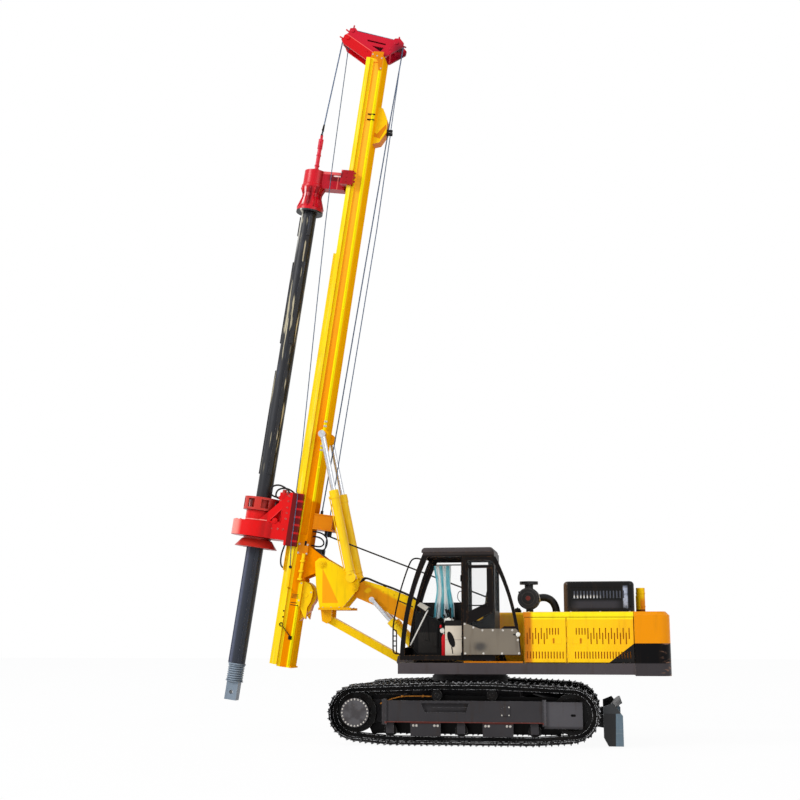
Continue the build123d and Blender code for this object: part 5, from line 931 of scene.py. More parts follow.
def stuffed(node):
    """Swells a plain CAD pad into a stuffed one with cloth pressure, and lets it stand for that node."""
    source = nodes[node]
    pad = placed(node + "_pad", source.data.copy())
    work = bmesh.new()
    work.from_mesh(pad.data)
    bmesh.ops.remove_doubles(work, verts=work.verts, dist=0.0001)
    work.to_mesh(pad.data)
    work.free()
    remesh = pad.modifiers.new("skin", "REMESH")
    remesh.mode = "VOXEL"
    remesh.voxel_size = PAD_VOXEL
    whole = bpy.context.evaluated_depsgraph_get()
    pad.data = bpy.data.meshes.new_from_object(pad.evaluated_get(whole))
    pad.modifiers.clear()
    normals = [vertex.normal.copy() for vertex in pad.data.vertices]
    for vertex, normal in zip(pad.data.vertices, normals):
        vertex.co -= normal * PAD_SLACK
    start = [vertex.co.copy() for vertex in pad.data.vertices]
    cloth = pad.modifiers.new("stuffing", "CLOTH")
    cloth.settings.use_pressure = True
    cloth.settings.uniform_pressure_force = PAD_PRESSURE
    cloth.settings.effector_weights.gravity = 0.0
    cloth.point_cache.frame_end = PAD_FRAMES
    for step in range(1, PAD_FRAMES + 1):
        bpy.context.scene.frame_set(step)
    whole = bpy.context.evaluated_depsgraph_get()
    swollen = bpy.data.meshes.new_from_object(pad.evaluated_get(whole))
    pad.modifiers.clear()
    for vertex, moved, before in zip(pad.data.vertices, swollen.vertices, start):
        step = moved.co - before
        vertex.co = before + step * min(1.0, PAD_SWELL / max(step.length, 1e-6))
    bpy.context.scene.frame_set(1)
    for face in pad.data.polygons:
        face.use_smooth = True
    soft = pad.modifiers.new("soft", "SUBSURF")
    soft.levels = soft.render_levels = 1
    pad.data.materials.clear()
    pad.data.materials.append(seat_cloth.material)
    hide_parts(node)
    return fit(pad, "upper")


stuffed("seat_cushion")
stuffed("seat_back")


# Curtain: a thin blue cotton sheet with white stripes across it that stand in for the light on its folds, a
# painted highlight. It is gathered on its rail at the right window and tucked in a little at its waist.
CURTAIN_TOP_Z, CURTAIN_FOOT_Z = 2.800, 1.955
CURTAIN_X, CURTAIN_Y = (0.215, 0.575), CURTAIN_RAIL_Y
PLEATS, PLEAT_DEPTH = 7, 0.017
COLUMNS, ROWS = 112, 56
curtain_cloth = Finish("curtain_cloth")
curtain_uv = curtain_cloth.parts(curtain_cloth.start.node("ShaderNodeTexCoord", output=2))
curtain_warp = curtain_cloth.noise(4.0, 2.0) * 3.0
# Painted highlight: white stripes stand in for the light on the folds.
curtain_fold_highlight = (curtain_uv[0] * 16.0 + curtain_warp).wave().rise(-0.35, 0.25)
curtain_blot = curtain_cloth.noise(6.0, 4.0).rise(0.4, 0.66)
curtain_tone = curtain_blot.blend(shade(120, 208, 224), shade(160, 226, 236))
curtain_cloth.set(Base_Color=curtain_fold_highlight.blend(curtain_tone, shade(250, 254, 255)), Roughness=0.85,
    Specular_IOR_Level=0.1, Normal=curtain_cloth.bump(curtain_cloth.noise(400.0, 2.0), 0.0004))
curtain_glow = curtain_cloth.start.node("ShaderNodeBsdfTranslucent",
    {"Color": curtain_fold_highlight.blend(curtain_tone, shade(250, 254, 255))})
curtain_mix = curtain_cloth.start.node("ShaderNodeMixShader",
    {0: 0.60, 1: Wire(curtain_cloth.tree, curtain_cloth.shader.outputs[0]), 2: curtain_glow})
curtain_cloth.tree.links.new(curtain_mix.socket, curtain_cloth.tree.nodes["Material Output"].inputs[0])
curtain_mesh = bpy.data.meshes.new("cab_curtain")
curtain_points = []
for row in range(ROWS + 1):
    down = row / ROWS
    # Gathered tight at the top, tucked in at the waist, wider again at the hem
    width = 0.78 + 0.22 * down - 0.20 * math.sin(math.pi * min(1.0, down * 1.2)) ** 2
    lean = 0.030 * math.sin(2.2 * down)
    for column in range(COLUMNS + 1):
        along = column / COLUMNS
        turn = math.tau * PLEATS * along
        middle = (CURTAIN_X[0] + CURTAIN_X[1]) / 2 - lean
        x = middle + (along - 0.5) * (CURTAIN_X[1] - CURTAIN_X[0]) * width
        x += 0.012 * math.sin(turn * 0.5 + down * 2.5) * down + 0.004 * math.sin(turn * 2 + down * 3)
        depth = PLEAT_DEPTH * (0.75 + 0.35 * down) * (1 + 0.25 * math.sin(5 * along + 3 * down))
        y = CURTAIN_Y + depth * math.sin(turn + 0.9 * math.sin(3 * down + along))
        z = CURTAIN_TOP_Z + (CURTAIN_FOOT_Z - CURTAIN_TOP_Z) * down + 0.016 * math.sin(turn * 0.5) * down
        curtain_points.append((x, y, z))
curtain_faces = [(r * (COLUMNS + 1) + c, r * (COLUMNS + 1) + c + 1, (r + 1) * (COLUMNS + 1) + c + 1,
    (r + 1) * (COLUMNS + 1) + c) for r in range(ROWS) for c in range(COLUMNS)]
curtain_mesh.from_pydata(curtain_points, [], curtain_faces)
curtain_layer = curtain_mesh.uv_layers.new(name="cloth")
for loop in curtain_mesh.loops:
    row, column = divmod(loop.vertex_index, COLUMNS + 1)
    curtain_layer.data[loop.index].uv = (column / COLUMNS, row / ROWS)
for face in curtain_mesh.polygons:
    face.use_smooth = True
curtain_mesh.materials.append(curtain_cloth.material)
curtain = placed("cab_curtain", curtain_mesh)
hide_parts("curtain")
fit(curtain, "upper")


# Boom, lower link and mast bracket: welded box steel in yellow enamel, pinned together, with bosses along the
# boom. Painted shade makes them browner where they face down, and the boom's sides and the bracket's recessed
# panel orange. Two rubber hoses are clipped on the boom's back.
# Painted shade: the boom's sides are an orange copy of the yellow; its back and some patches are lighter,
# painted light.
boom_paint = Enamel("boom_paint", (236, 152, 14), (206, 112, 6), (120, 90, 60), worn=0.7)
boom_x, _, boom_z = boom_paint.axes()
boom_back = boom_z - boom_x * 0.560
boom_paint.zone((boom_back + boom_paint.noise(5.0) * 0.10).rise(1.60, 1.68), (255, 205, 14))
boom_patch = boom_paint.noise(3.6, 2.0).rise(0.56, 0.60)
boom_paint.zone(boom_patch * 0.85, (252, 196, 20))
dress(boom_paint.done(), "boom")
link_paint = Enamel("link_paint", (255, 205, 12), (226, 150, 4), (120, 96, 70), worn=0.6)
dress(link_paint.done(), "lower_link")

bracket_paint = Enamel("bracket_paint", (255, 212, 6), (226, 150, 4), (120, 96, 70), worn=0.6)
bracket_x, _, bracket_z = bracket_paint.axes()
# Painted shade: the recessed triangular panel is orange. Below z 2.14 the bracket is also more orange.
bracket_panel = (bracket_z.rise(2.205, 2.215) * bracket_x.rise(2.462, 2.455)
    * (bracket_z + (2.460 - bracket_x) * 1.95).rise(2.83, 2.82)
    * (bracket_x * 2.10 - bracket_z).rise(2.36, 2.38))
bracket_paint.zone(bracket_panel, (250, 162, 18))
bracket_paint.zone(bracket_z.rise(2.14, 2.13), (240, 170, 8))
dress(bracket_paint.done(), "mast_bracket")
pin_paint = Enamel("pin_paint", (246, 196, 10), (206, 130, 6), (110, 84, 56), worn=0.9).done()
for side, side_name in SIDES:
    bracket_trim = Shape()
    for (x, z), radius, y in (((2.472, 2.867), 0.052, 0.270), ((1.900, 2.450), 0.046, 0.265),
                              ((1.940, 2.625), 0.036, 0.250)):
        bracket_trim.pin(x, z, side * (y - 0.01), side * (y + 0.012), radius, radius - 0.006, 24)
        bracket_trim.pin(x, z, side * (y + 0.010), side * (y + 0.020), radius * 0.45, sides=6)
    bracket_trim.ready("bracket_pins_" + side_name, "mast_bracket", "yellow_paint", pin_paint, 0.002)
    bolts("bracket_bolts_" + side_name, "mast_bracket",
        [(x, side * 0.272, 2.134) for x in (2.02, 2.16, 2.30, 2.44)], (0, 0, 1), 0.014, 0.010)
# Bosses along the boom, which stand proud where its plates are doubled
boom_trim = Shape()
PROUD_BOSS_Y, FLUSH_BOSS_Y = 0.166, 0.153
for x, z, y, reach in ((1.848, 2.610, PROUD_BOSS_Y, 0.020), (1.727, 2.517, PROUD_BOSS_Y, 0.016),
                       (1.437, 2.390, PROUD_BOSS_Y, 0.016), (1.250, 2.339, PROUD_BOSS_Y, 0.016),
                       (1.403, 2.274, FLUSH_BOSS_Y, 0.020), (1.624, 2.259, FLUSH_BOSS_Y, 0.016)):
    for side in (1, -1):
        boom_trim.pin(x, z, side * 0.150, side * y, reach, reach - 0.002, 16)
boom_trim.ready("boom_bosses", "boom", "yellow_paint", pin_paint, 0.001)


def hose(name, body, points, radius):
    """A rubber hose along those points, which leaves the rig at its first point and ends at its last."""
    made = tube(name, body, rubber.material, points, radius)
    return made


BOOM_HOSE_Y = 0.055
for side, side_name in SIDES:
    y = side * BOOM_HOSE_Y
    hose("boom_hose_" + side_name, "boom",
         [(0.850, y, 2.212), (0.895, y, 2.268), (1.000, y, 2.335), (1.190, y * 1.2, 2.415),
          (1.344, y * 1.3, 2.478), (1.500, y, 2.530), (1.640, y * 0.9, 2.590), (1.735, y, 2.632),
          (1.805, y, 2.625), (1.832, y, 2.556)], 0.016)
boom_clips = Shape()
boom_clips.box(0.815, 0.870, -0.085, 0.085, 2.185, 2.225)
boom_clips.box(1.800, 1.850, -0.085, 0.085, 2.535, 2.572)
boom_clips.box(1.420, 1.450, -0.10, 0.10, 2.470, 2.500)
boom_clips.ready("boom_hose_clips", "boom", "track_steel", soot_black, 0.003)


# Rams: honed steel tubes in yellow enamel with a screwed gland, hard-chromed rods and forged eyes, pinned at
# both ends. Each tilt ram carries its oil pipe on its back.
ram_yellow = Enamel("ram_yellow", (255, 208, 14), (224, 148, 6), (120, 96, 70), worn=0.6)
barrel_yellow = ram_yellow.done(specular=0.25)
dress(barrel_yellow, "lift_barrels", "tilt_barrels")
chrome = Finish("rod_chrome")
chrome_grain = chrome.noise(30.0, 5.0)
dress(chrome.set(Base_Color=chrome_grain.rise(0.3, 0.7).blend(shade(214, 216, 220), shade(186, 188, 194)),
    Roughness=0.18 + chrome_grain * 0.08, Metallic=0.8, Normal=chrome.bump(chrome_grain, 0.00003)),
    "lift_rods", "tilt_rods", "blade_ram_rod")


def ram_trim(name, body, foot, head, y, radius):
    """The gland ring, weld ring and oil pipe of a ram's barrel that runs from foot to head."""
    foot, head = Vector((foot[0], y, foot[1])), Vector((head[0], y, head[1]))
    way = (head - foot).normalized()
    rise = Vector((way.z, 0, -way.x))
    pipe_foot, pipe_head = foot + way * 0.16, head - way * 0.10
    pipe_rise = rise * (radius + 0.02)
    made = Shape()
    made.bar(head - way * 0.07, head + way * 0.002, radius + 0.007, sides=28)
    made.bar(foot + way * 0.10, foot + way * 0.13, radius + 0.005, sides=28)
    made.bar(pipe_foot + pipe_rise, pipe_head + pipe_rise, 0.010, sides=12)
    for end in (pipe_foot, pipe_head):
        made.bar(end + rise * (radius - 0.01), end + rise * (radius + 0.032), 0.018, sides=14)
    made.ready(name, body, "yellow_paint", barrel_yellow, 0.001)


TILT_FOOT, TILT_EYE, TILT_RAM_Y, TILT_BARREL_RADIUS = (1.940, 2.625), (2.463, 5.065), 0.37, 0.075
TILT_BARREL_SHARE = 0.60
tilt_head = tuple(a + (b - a) * TILT_BARREL_SHARE for a, b in zip(TILT_FOOT, TILT_EYE))
for side, side_name in SIDES:
    ram_trim("tilt_gland_" + side_name, "tilt_barrels", TILT_FOOT, tilt_head, side * TILT_RAM_Y,
        TILT_BARREL_RADIUS)


# Mast: a long box of bent plate, recessed on its sides, with hardened rails on its front. The yellow is
# painted lighter on the rails and on the rear corner plates, as painted light, and orange in the recess, as
# painted shade, with scraped running faces.
MAST_PIVOT = Vector((2.472, 0.0, 2.867))
MAST_UP = Vector((-0.14263, 0.0, 0.98978))
MAST_FRONT = Vector((0.98978, 0.0, 0.14263))
MAST_HALF_WIDTH, RECESS_Y, KELLY_N = 0.225, 0.199, 1.256


def on_mast(n, y, u):
    """A place given from the mast's pivot: n to its front, y to its left, u along it."""
    return MAST_PIVOT + MAST_FRONT * n + Vector((0, y, 0)) + MAST_UP * u


def along_mast(*places):
    """Several such places."""
    return [on_mast(*place) for place in places]


def mast_axes(finish):
    """A finish's place as the mast's own n, y and u."""
    return finish.along(MAST_FRONT, MAST_PIVOT), finish.axes()[1], finish.along(MAST_UP, MAST_PIVOT)


def grain(finish, n, y, u, across, along):
    """Noise drawn out along the mast."""
    place = finish.start.node("ShaderNodeCombineXYZ", {0: n * across, 1: y * across, 2: u * along})
    return finish.noise(1.0, 5.0, place)


# Painted shade: the base colour is the orange of the shaded recess, lighter higher up the sides.
mast_paint = Enamel("mast_paint", (238, 140, 4), (216, 116, 4), (130, 96, 60))
mast_n, mast_y, mast_u = mast_axes(mast_paint)
mast_side = mast_y.size().rise(0.17, 0.19)
mast_paint.zone(mast_side * mast_u.rise(0.5, 8.5), (255, 184, 52))
mast_streak = grain(mast_paint, mast_n, mast_y, mast_u, 26.0, 1.2)
mast_paint.zone(mast_streak.rise(0.55, 0.70) * mast_n.rise(0.345, 0.355) * 0.6, (255, 168, 20))
# Painted light: the rear corner plates, the front strip and the front face are lighter; the rear flank is a
# paler orange, still a painted shade.
mast_lit_spans = mast_u.rise(1.0, 1.06).most(mast_u.rise(-0.33, -0.39))
mast_paint.zone(mast_n.inside(0.292, 0.345) * mast_lit_spans * mast_side, (255, 232, 24))
mast_paint.zone(mast_n.rise(0.288, 0.282) * mast_lit_spans, (248, 170, 12))
mast_paint.zone(mast_n.rise(0.452, 0.460) * mast_side, (255, 218, 30))
mast_paint.zone(mast_n.rise(0.500, 0.506), (240, 196, 20))
mast_yellow = mast_paint.done(specular=0.0, stain=0.10)
dress(mast_yellow, "mast")

# Painted light: the rails' enamel is a lighter copy of the mast's yellow.
rail_paint = Enamel("rail_paint", (255, 224, 40), (232, 168, 10), (170, 160, 140), worn=0.9)
rail_n, rail_y, rail_u = mast_axes(rail_paint)
rail_streak = grain(rail_paint, rail_n, rail_y, rail_u, 40.0, 1.0).rise(0.52, 0.66)
rail_paint.zone(rail_streak * rail_y.size().rise(0.262, 0.264) * 0.35, (255, 240, 130))
rail_paint.zone(rail_n.rise(0.640, 0.648) * rail_streak * 0.7, (170, 168, 160))
dress(rail_paint.done(specular=0.05), "mast_rails")
housing_paint = Enamel("housing_paint", (255, 206, 14), (214, 120, 8), (130, 96, 60))
housing_yellow = housing_paint.done()
dress(housing_yellow, "pulley_housings")
# Painted shade: an orange copy of the yellow, on the rope bracket and on the mast's cap and doubler plates.
bracket_orange = Enamel("bracket_orange", (226, 132, 10), (170, 90, 6), (120, 90, 60))
bracket_orange_paint = bracket_orange.done()
dress(bracket_orange_paint, "rope_bracket")
dress(winch_paint, "crowd_winch")
wound_rope("crowd_turns", "mast", on_mast(0.15, 0, 0.06), 0.115, 0.009, 0.27)

for side, side_name in SIDES:
    face = side * MAST_HALF_WIDTH
    cap = Shape(on_mast)
    cap.plate([(0.505, 9.262), (0.460, 9.284), (0.285, 9.284), (0.285, 8.931), (0.340, 8.926),
        (0.372, 9.095), (0.421, 9.149), (0.505, 9.165)], face, face + side * 0.010)
    # The lid of a bolted box, and the doubler of the top pulley's housing
    cap.plate([(0.275, 0.10), (0.275, 0.31), (0.46, 0.31), (0.46, 0.10)], side * 0.200, face + side * 0.006)
    cap.plate([(0.219, 7.752), (0.262, 7.777), (0.262, 7.700), (0.153, 7.673), (0.060, 7.880),
        (0.075, 7.950)], side * 0.110, side * 0.114)
    cap.ready("mast_doublers_" + side_name, "mast", "yellow_paint", bracket_orange_paint, 0.002)
    # Black bars and discs stand in for the shade inside the mast's slits and holes: painted shade.
    slits = Shape(on_mast)
    for u in (8.080, 7.977):
        slits.box(0.276, 0.410, side * RECESS_Y, face + side * 0.003, u - 0.007, u + 0.007)
    for u, half in ((-0.570, 0.004), (-0.590, 0.004), (-0.610, 0.004), (-0.630, 0.004),
                    (-0.710, 0.006), (-0.750, 0.006)):
        slits.box(0.300, 0.440, side * RECESS_Y, face + side * 0.002, u - half, u + half)
    slits.box(0.318, 0.352, side * RECESS_Y, face + side * 0.008, 0.262, 0.342)
    for n, u in ((0.524, -0.868), (0.521, -0.968)):
        slits.pin(n, u, side * 0.255, side * 0.267, 0.014, sides=18)
    slits.ready("mast_slits_" + side_name, "mast", "black_paint", soot_black, 0.001)
    # Oil pipe down the recess, with its collars and clamps
    pipework = Shape(on_mast)
    pipework.post(0.330, side * 0.250, 0.125, -0.330, 0.034, sides=28)
    for u in (-0.005, -0.175, -0.310):
        pipework.post(0.330, side * 0.250, u - 0.018, u + 0.018, 0.052, sides=28)
        pipework.box(0.300, 0.360, side * 0.200, side * 0.250, u - 0.015, u + 0.015)
    # The side lobe of the tail pulley's guard
    pipework.plate([(0.275, -0.335), (0.24, -0.335), (0.15, -0.38), (0.095, -0.47), (0.089, -0.56),
                    (0.105, -0.66), (0.15, -0.76), (0.145, -0.86), (0.150, -0.954), (0.20, -0.90),
                    (0.275, -0.77)], side * 0.110, side * 0.192)
    pipework.plate([(0.32, -0.335), (0.272, -0.335), (0.272, -0.78), (0.32, -0.72)], side * 0.190,
        face + side * 0.018)
    pipework.pin(0.21, -0.56, side * 0.18, side * 0.198, 0.050, 0.044, 28)
    pipework.ready("mast_pipework_" + side_name, "mast", "yellow_paint", housing_yellow, 0.003)
    bolts("mast_bolts_" + side_name, "mast", [on_mast(n, face + side * 0.006, u) for n, u in (
              (0.295, 0.13), (0.295, 0.28), (0.44, 0.13), (0.44, 0.28))], (0, side, 0), 0.012, 0.008)
    bolts("guard_lobe_bolts_" + side_name, "mast", [on_mast(0.300, face + side * 0.018, u)
        for u in (-0.37, -0.66)] + [on_mast(0.12, side * 0.192, -0.50)], (0, side, 0), 0.009, 0.006)
    bolts("cap_bolts_" + side_name, "mast", [on_mast(n, face + side * 0.010, u) for n, u in (
              (0.305, 9.16), (0.40, 9.20), (0.485, 9.225), (0.30, 8.96))], (0, side, 0), 0.010, 0.006)
    bolts("ram_pad_bolts_" + side_name, "mast", [on_mast(n, side * 0.227, u) for n in (0.298, 0.325)
        for u in (1.92, 1.99, 2.34, 2.42)], (0, side, 0), 0.012, 0.008)
joints_trim = Shape(on_mast)
for u in (1.62, 4.44, 7.26):
    # Flanged joints of the mast's sections
    for side in (1, -1):
        for n0, n1 in ((0.283, 0.340), (0.455, 0.505)):
            joints_trim.box(n0, n1, side * 0.2245, side * 0.229, u - 0.012, u + 0.012)
joints_trim.box(0.310, 0.470, -0.18, 0.18, 9.205, 9.215)
joints_trim.ready("mast_joints", "mast", "yellow_paint", mast_yellow, 0.002)

# Hose loop under the head, and the arm that holds its lower end
hose("mast_loop", "head", along_mast((0.690, 0.228, 0.250), (0.708, 0.228, 0.165), (0.726, 0.230, 0.060),
    (0.722, 0.232, -0.060), (0.695, 0.224, -0.145), (0.652, 0.212, -0.160)), 0.014)
loop_arm = Shape(on_mast)
loop_arm.box(0.642, 0.656, 0.205, 0.252, -0.195, 0.275)
loop_arm.ready("loop_arm", "head", "yellow_paint", housing_yellow, 0.002)
# Two hoses that leave the mast's rear face and go back into it
hose("rear_hose_left", "mast", [on_mast(n, 0.13, u) for n,
    u in ((0.262, 0.520), (0.150, 0.530), (0.020, 0.470), (-0.020, 0.360), (0.010, 0.240), (0.120, 0.200),
    (0.262, 0.235))], 0.013)
hose("rear_hose_middle", "mast", [on_mast(n, 0.08, u) for n,
    u in ((0.262, 0.440), (0.160, 0.450), (0.060, 0.390), (0.055, 0.310), (0.150, 0.270), (0.262, 0.290))],
    0.013)
# Lashing chain near the mast's foot, on both sides
RING_N, RING_U, RING_RADIUS, RING_TURN = 0.530, -1.096, 0.030, 0.628
tack = Shape(on_mast)
for side in (1, -1):
    y = side * 0.262
    # Lashing ring, its links and the clamp that it is kept on
    for k in range(10):
        (n0, u0), (n1, u1) = ((RING_N + RING_RADIUS * math.cos(turn),
            RING_U + RING_RADIUS * math.sin(turn)) for turn in (k * RING_TURN, k * RING_TURN + RING_TURN))
        tack.bar((n0, y + side * 0.012, u0), (n1, y + side * 0.012, u1), 0.007, sides=8)
    for k in range(6):
        n, u = 0.500 - 0.024 * k, -1.125 - 0.025 * k
        tack.bar((n, y - side * 0.004 * k, u), (n - 0.020, y - side * 0.004 * (k + 1), u - 0.022), 0.009,
            sides=8)
    tack.box(0.325, 0.385, side * RECESS_Y, side * 0.236, -1.325, -1.262)
    tack.pin(0.345, -1.290, side * 0.230, side * 0.246, 0.024, 0.020, 16)
tack.ready("lashing_chain", "mast", "track_steel", soot_black, 0.001)


# Cathead: two crimson cheek plates that carry the rope sheaves over the mast's top, darker towards the tail.
# The sheaves turn on pins through both cheeks, and round keepers hold the ropes in them.
FRONT_SHEAVE, TOP_SHEAVE, TAIL_SHEAVE = (1.013, 9.541), (0.935, 9.676), (0.091, 9.495)
CHEEK_Y = 0.165
cathead_paint = Enamel("cathead_paint", (196, 22, 46), (150, 4, 34), (120, 30, 40), rough=0.32)
cat_n, _, cat_u = mast_axes(cathead_paint)
CHEEK_EDGE_SLOPE, CHEEK_EDGE_U = 0.60, 8.988
cathead_paint.zone(cat_n.rise(0.24, 0.02) * cat_u.rise(9.55, 9.40) * 0.85, (96, 2, 34))
cat_line = cat_u - cat_n * CHEEK_EDGE_SLOPE - CHEEK_EDGE_U
cathead_paint.zone(cat_line.rise(0.0, -0.008) * cat_n.rise(0.50, 0.51), (204, 8, 22))
# Painted highlight: a pale line along the cheek's edge.
cathead_paint.zone(cat_line.inside(-0.006, 0.006, 0.003) * cat_n.rise(0.50, 0.51), (246, 104, 96))
cathead_red = cathead_paint.done(specular=0.2)
dress(cathead_red, "cathead")
sheave_paint = Enamel("sheave_paint", (120, 20, 34), (60, 6, 16), (170, 168, 164), worn=0.9)
dress(sheave_paint.done(), "cathead_sheaves")
# A dark red that stands in for the shade between the cheeks: painted shade.
cathead_shade_dark = Enamel("cathead_shade_dark", (66, 4, 16), (40, 2, 10), (70, 20, 26)).done()
cat_trim = Shape(on_mast)
for side in (1, -1):
    for (n, u), reach in ((FRONT_SHEAVE, 0.045), (TOP_SHEAVE, 0.034), (TAIL_SHEAVE, 0.040)):
        cat_trim.pin(n, u, side * 0.180, side * 0.200, reach, reach - 0.006, 24)
    for n, u in ((0.20, 9.36), (0.62, 9.30)):
        cat_trim.pin(n, u, side * 0.180, side * 0.194, 0.018, sides=6)
for n, u in ((1.120, 9.520), (0.20, 9.42), (0.55, 9.36)):
    # Spacer tubes between the cheeks
    cat_trim.pin(n, u, -0.150, 0.150, 0.020)
for n, u, way_n, way_u in ((1.156, 9.553, 0.040, 0.030), (1.052, 9.690, 0.055, 0.055),
                           (0.930, 9.780, -0.004, 0.055), (0.059, 9.610, 0.004, 0.045)):
    # Rope keepers that stand up from the cheeks' edge
    for y in (CHEEK_Y, -CHEEK_Y):
        cat_trim.bar((n - way_n, y, u - way_u * 0.6), (n + way_n * 0.3, y, u + way_u * 0.3), 0.014,
            sides=12)
# Tail keeper and tail hook of the left cheek
cat_trim.bar((0.010, CHEEK_Y, 9.455), (-0.095, CHEEK_Y, 9.428), 0.022, 0.012, 14)
cat_trim.bar((0.190, CHEEK_Y, 9.400), (0.172, CHEEK_Y, 9.190), 0.026, 0.013, 14)
cat_trim.bar((0.172, CHEEK_Y, 9.195), (0.168, CHEEK_Y, 9.070), 0.013, 0.008, 12)
cat_trim.ready("cathead_pins", "mast", "red_paint", cathead_red, 0.002)
# Dark plates between the cheeks stand in for the shade seen through their slot: painted shade.
cat_shade_plate = Shape(on_mast)
for side in (1, -1):
    cat_shade_plate.plate([(0.285, 9.400), (0.285, 9.560), (0.690, 9.560), (0.690, 9.400)], side * 0.140,
        side * 0.146)
cat_shade_plate.ready("cathead_shade_plate", "mast", "black_paint", cathead_shade_dark, 0.001)


# The ropes: laid steel wire rope in six strands, run taut from the winches over the sheaves of the cathead.
# They end in forged sockets, and one hangs the kelly's swivel.
rope_steel = Finish("rope_steel")
strand = rope_steel.noise(120.0).rise(0.35, 0.65)
rope_steel.set(Base_Color=strand.blend(shade(128, 150, 182), shade(70, 84, 108)), Roughness=0.45,
    Metallic=0.3, Normal=rope_steel.bump(strand, 0.0006))
rope_tree = Grower("laid_rope", Radius=("Float", 0.012), Lay=("Float", 0.16), Material=("Material", None))
rope_run = rope_tree.add("GeometryNodeResampleCurve", {0: rope_tree.given[0], "Length": 0.02},
    mode="LENGTH")
rope_way = rope_tree.add("GeometryNodeSplineParameter")
rope_turn = rope_tree.add("ShaderNodeMath", {0: rope_way["Length"], 1: rope_tree.given["Lay"]},
    operation="DIVIDE")
rope_twist = rope_tree.add("GeometryNodeSetCurveTilt", {0: rope_run[0],
    "Tilt": rope_tree.times(rope_turn[0], math.tau)})
rope_star = rope_tree.add("GeometryNodeCurveStar", {"Points": 6,
    "Inner Radius": rope_tree.times(rope_tree.given["Radius"], 0.74),
    "Outer Radius": rope_tree.given["Radius"], "Twist": math.pi / 6})
rope_skin = rope_tree.add("GeometryNodeCurveToMesh", {0: rope_twist[0], "Profile Curve": rope_star[0],
    "Fill Caps": True})
rope_tree = rope_tree.end(rope_skin[0])


def taut_rope(name, points, radius, material=rope_steel.material):
    """A straight-run laid rope through those places."""
    route = bpy.data.curves.new(name, "CURVE")
    route.dimensions = "3D"
    spline = route.splines.new("POLY")
    spline.points.add(len(points) - 1)
    for point, place in zip(spline.points, points):
        point.co = (*place, 1.0)
    base = placed(name + "_route", route)
    made = grow(name, base, rope_tree, Radius=radius, Lay=radius * 13, Material=material)
    return made


def round_sheave(sheave, y, reach, start, stop, steps=8):
    """Places where a rope lies on a sheave, from one angle to another, in degrees from the mast's front."""
    n, u = sheave
    return [on_mast(n + reach * math.cos(math.radians(start + (stop - start) * k / steps)), y,
        u + reach * math.sin(math.radians(start + (stop - start) * k / steps))) for k in range(steps + 1)]


HOIST_FALL = (on_mast(KELLY_N, 0, 7.680), on_mast(1.149, 0, 9.541))
fall = taut_rope("hoist_fall", HOIST_FALL, 0.013)
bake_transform(fall)
hoist_rope = taut_rope("hoist_rope", round_sheave(FRONT_SHEAVE, 0.0, 0.136, 0, 88)
    + round_sheave(TAIL_SHEAVE, 0.0, 0.096, 88, 178) + [on_mast(n, 0.0, u) for n,
    u in ((0.033, 8.099), (0.074, 5.987), (0.141, 2.507), (0.190, 0.790))], 0.012)
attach(hoist_rope, "mast")
aux = taut_rope("aux_rope", along_mast((-0.023, 0.075, 7.850), (-0.010, 0.075, 9.480))
    + round_sheave(TAIL_SHEAVE, 0.075, 0.094, 172, 92) + round_sheave(TOP_SHEAVE, 0.075, 0.070, 95, 5)
    + along_mast((0.952, 0.150, 8.000), (0.905, 0.240, 7.000), (0.835, 0.345, 5.880), (0.766, 0.366, 4.600),
    (0.617, 0.366, 1.840), (0.602, 0.366, 1.150), (0.566, 0.366, 1.080), (0.548, 0.366, 0.236),
    (0.505, 0.362, -0.120)), 0.009)
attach(aux, "mast")
crowd = taut_rope("crowd_rope", [on_mast(n, 0.045, u) for n,
    u in ((-0.020, 7.780), (-0.033, 5.997), (0.010, 2.516), (0.030, 0.180))], 0.010)
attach(crowd, "mast")
rope_ends = Shape(on_mast)
rope_ends.pin(0.502, -0.130, 0.350, 0.376, 0.026)
rope_ends.bar((0.045, 0.045, 7.790), (-0.055, 0.045, 7.790), 0.030)
rope_ends.bar((0.060, 0.075, 7.840), (-0.055, 0.075, 7.840), 0.026)
rope_ends.bar((0.190, 0.0, 0.770), (0.188, 0.0, 0.900), 0.024, sides=18)
rope_ends.ready("rope_anchors", "mast", "track_steel", winch_paint, 0.002)

# Strap that holds the auxiliary rope's end clear of the head's travel
strap = Shape(on_mast)
strap.box(0.484, 0.520, 0.342, 0.352, -0.480, -0.110)
strap.box(0.484, 0.504, 0.220, 0.352, -0.490, -0.465)
strap.ready("rope_strap", "mast", "yellow_paint", housing_yellow, 0.002)

# The deck rope rises from the hoist winch over a roller on the rest post to the guide behind the mast
ROLLER_END, GUIDE_END = Vector((-0.300, 0.0, 2.298)), Vector((2.452, 0.0, 3.362))
deck_rope = taut_rope("deck_rope", [Vector((-0.492, 0.0, 1.560)), Vector((-0.408, 0.0, 2.240)),
    Vector((-0.390, 0.0, 2.284)), Vector((-0.345, 0.0, 2.303)), ROLLER_END, GUIDE_END], 0.014,
    rope_black.material)
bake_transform(deck_rope)
roller = Shape()
roller.pin(-0.345, 2.240, -0.030, 0.030, 0.050, sides=28)
roller.pin(-0.345, 2.240, -0.345, 0.050, 0.018, sides=18)
roller.box(-0.400, -0.320, -0.345, -0.325, 2.19, 2.29)
roller.ready("rope_roller", "upper", "black_paint", winch_paint, 0.003)


# Rope guide: a steel roller between two small cheek plates, bolted under the rope bracket, which the deck
# rope meets behind the mast.
guide = Shape(on_mast)
guide.pin(0.020, 0.520, -0.025, 0.025, 0.040, sides=28)
for y in (-0.045, 0.035):
    guide.plate([(-0.030, 0.480), (-0.030, 0.582), (0.080, 0.582), (0.080, 0.500), (0.020, 0.465)], y,
        y + 0.010)
guide.ready("rope_guide", "mast", "black_paint", winch_paint, 0.002)


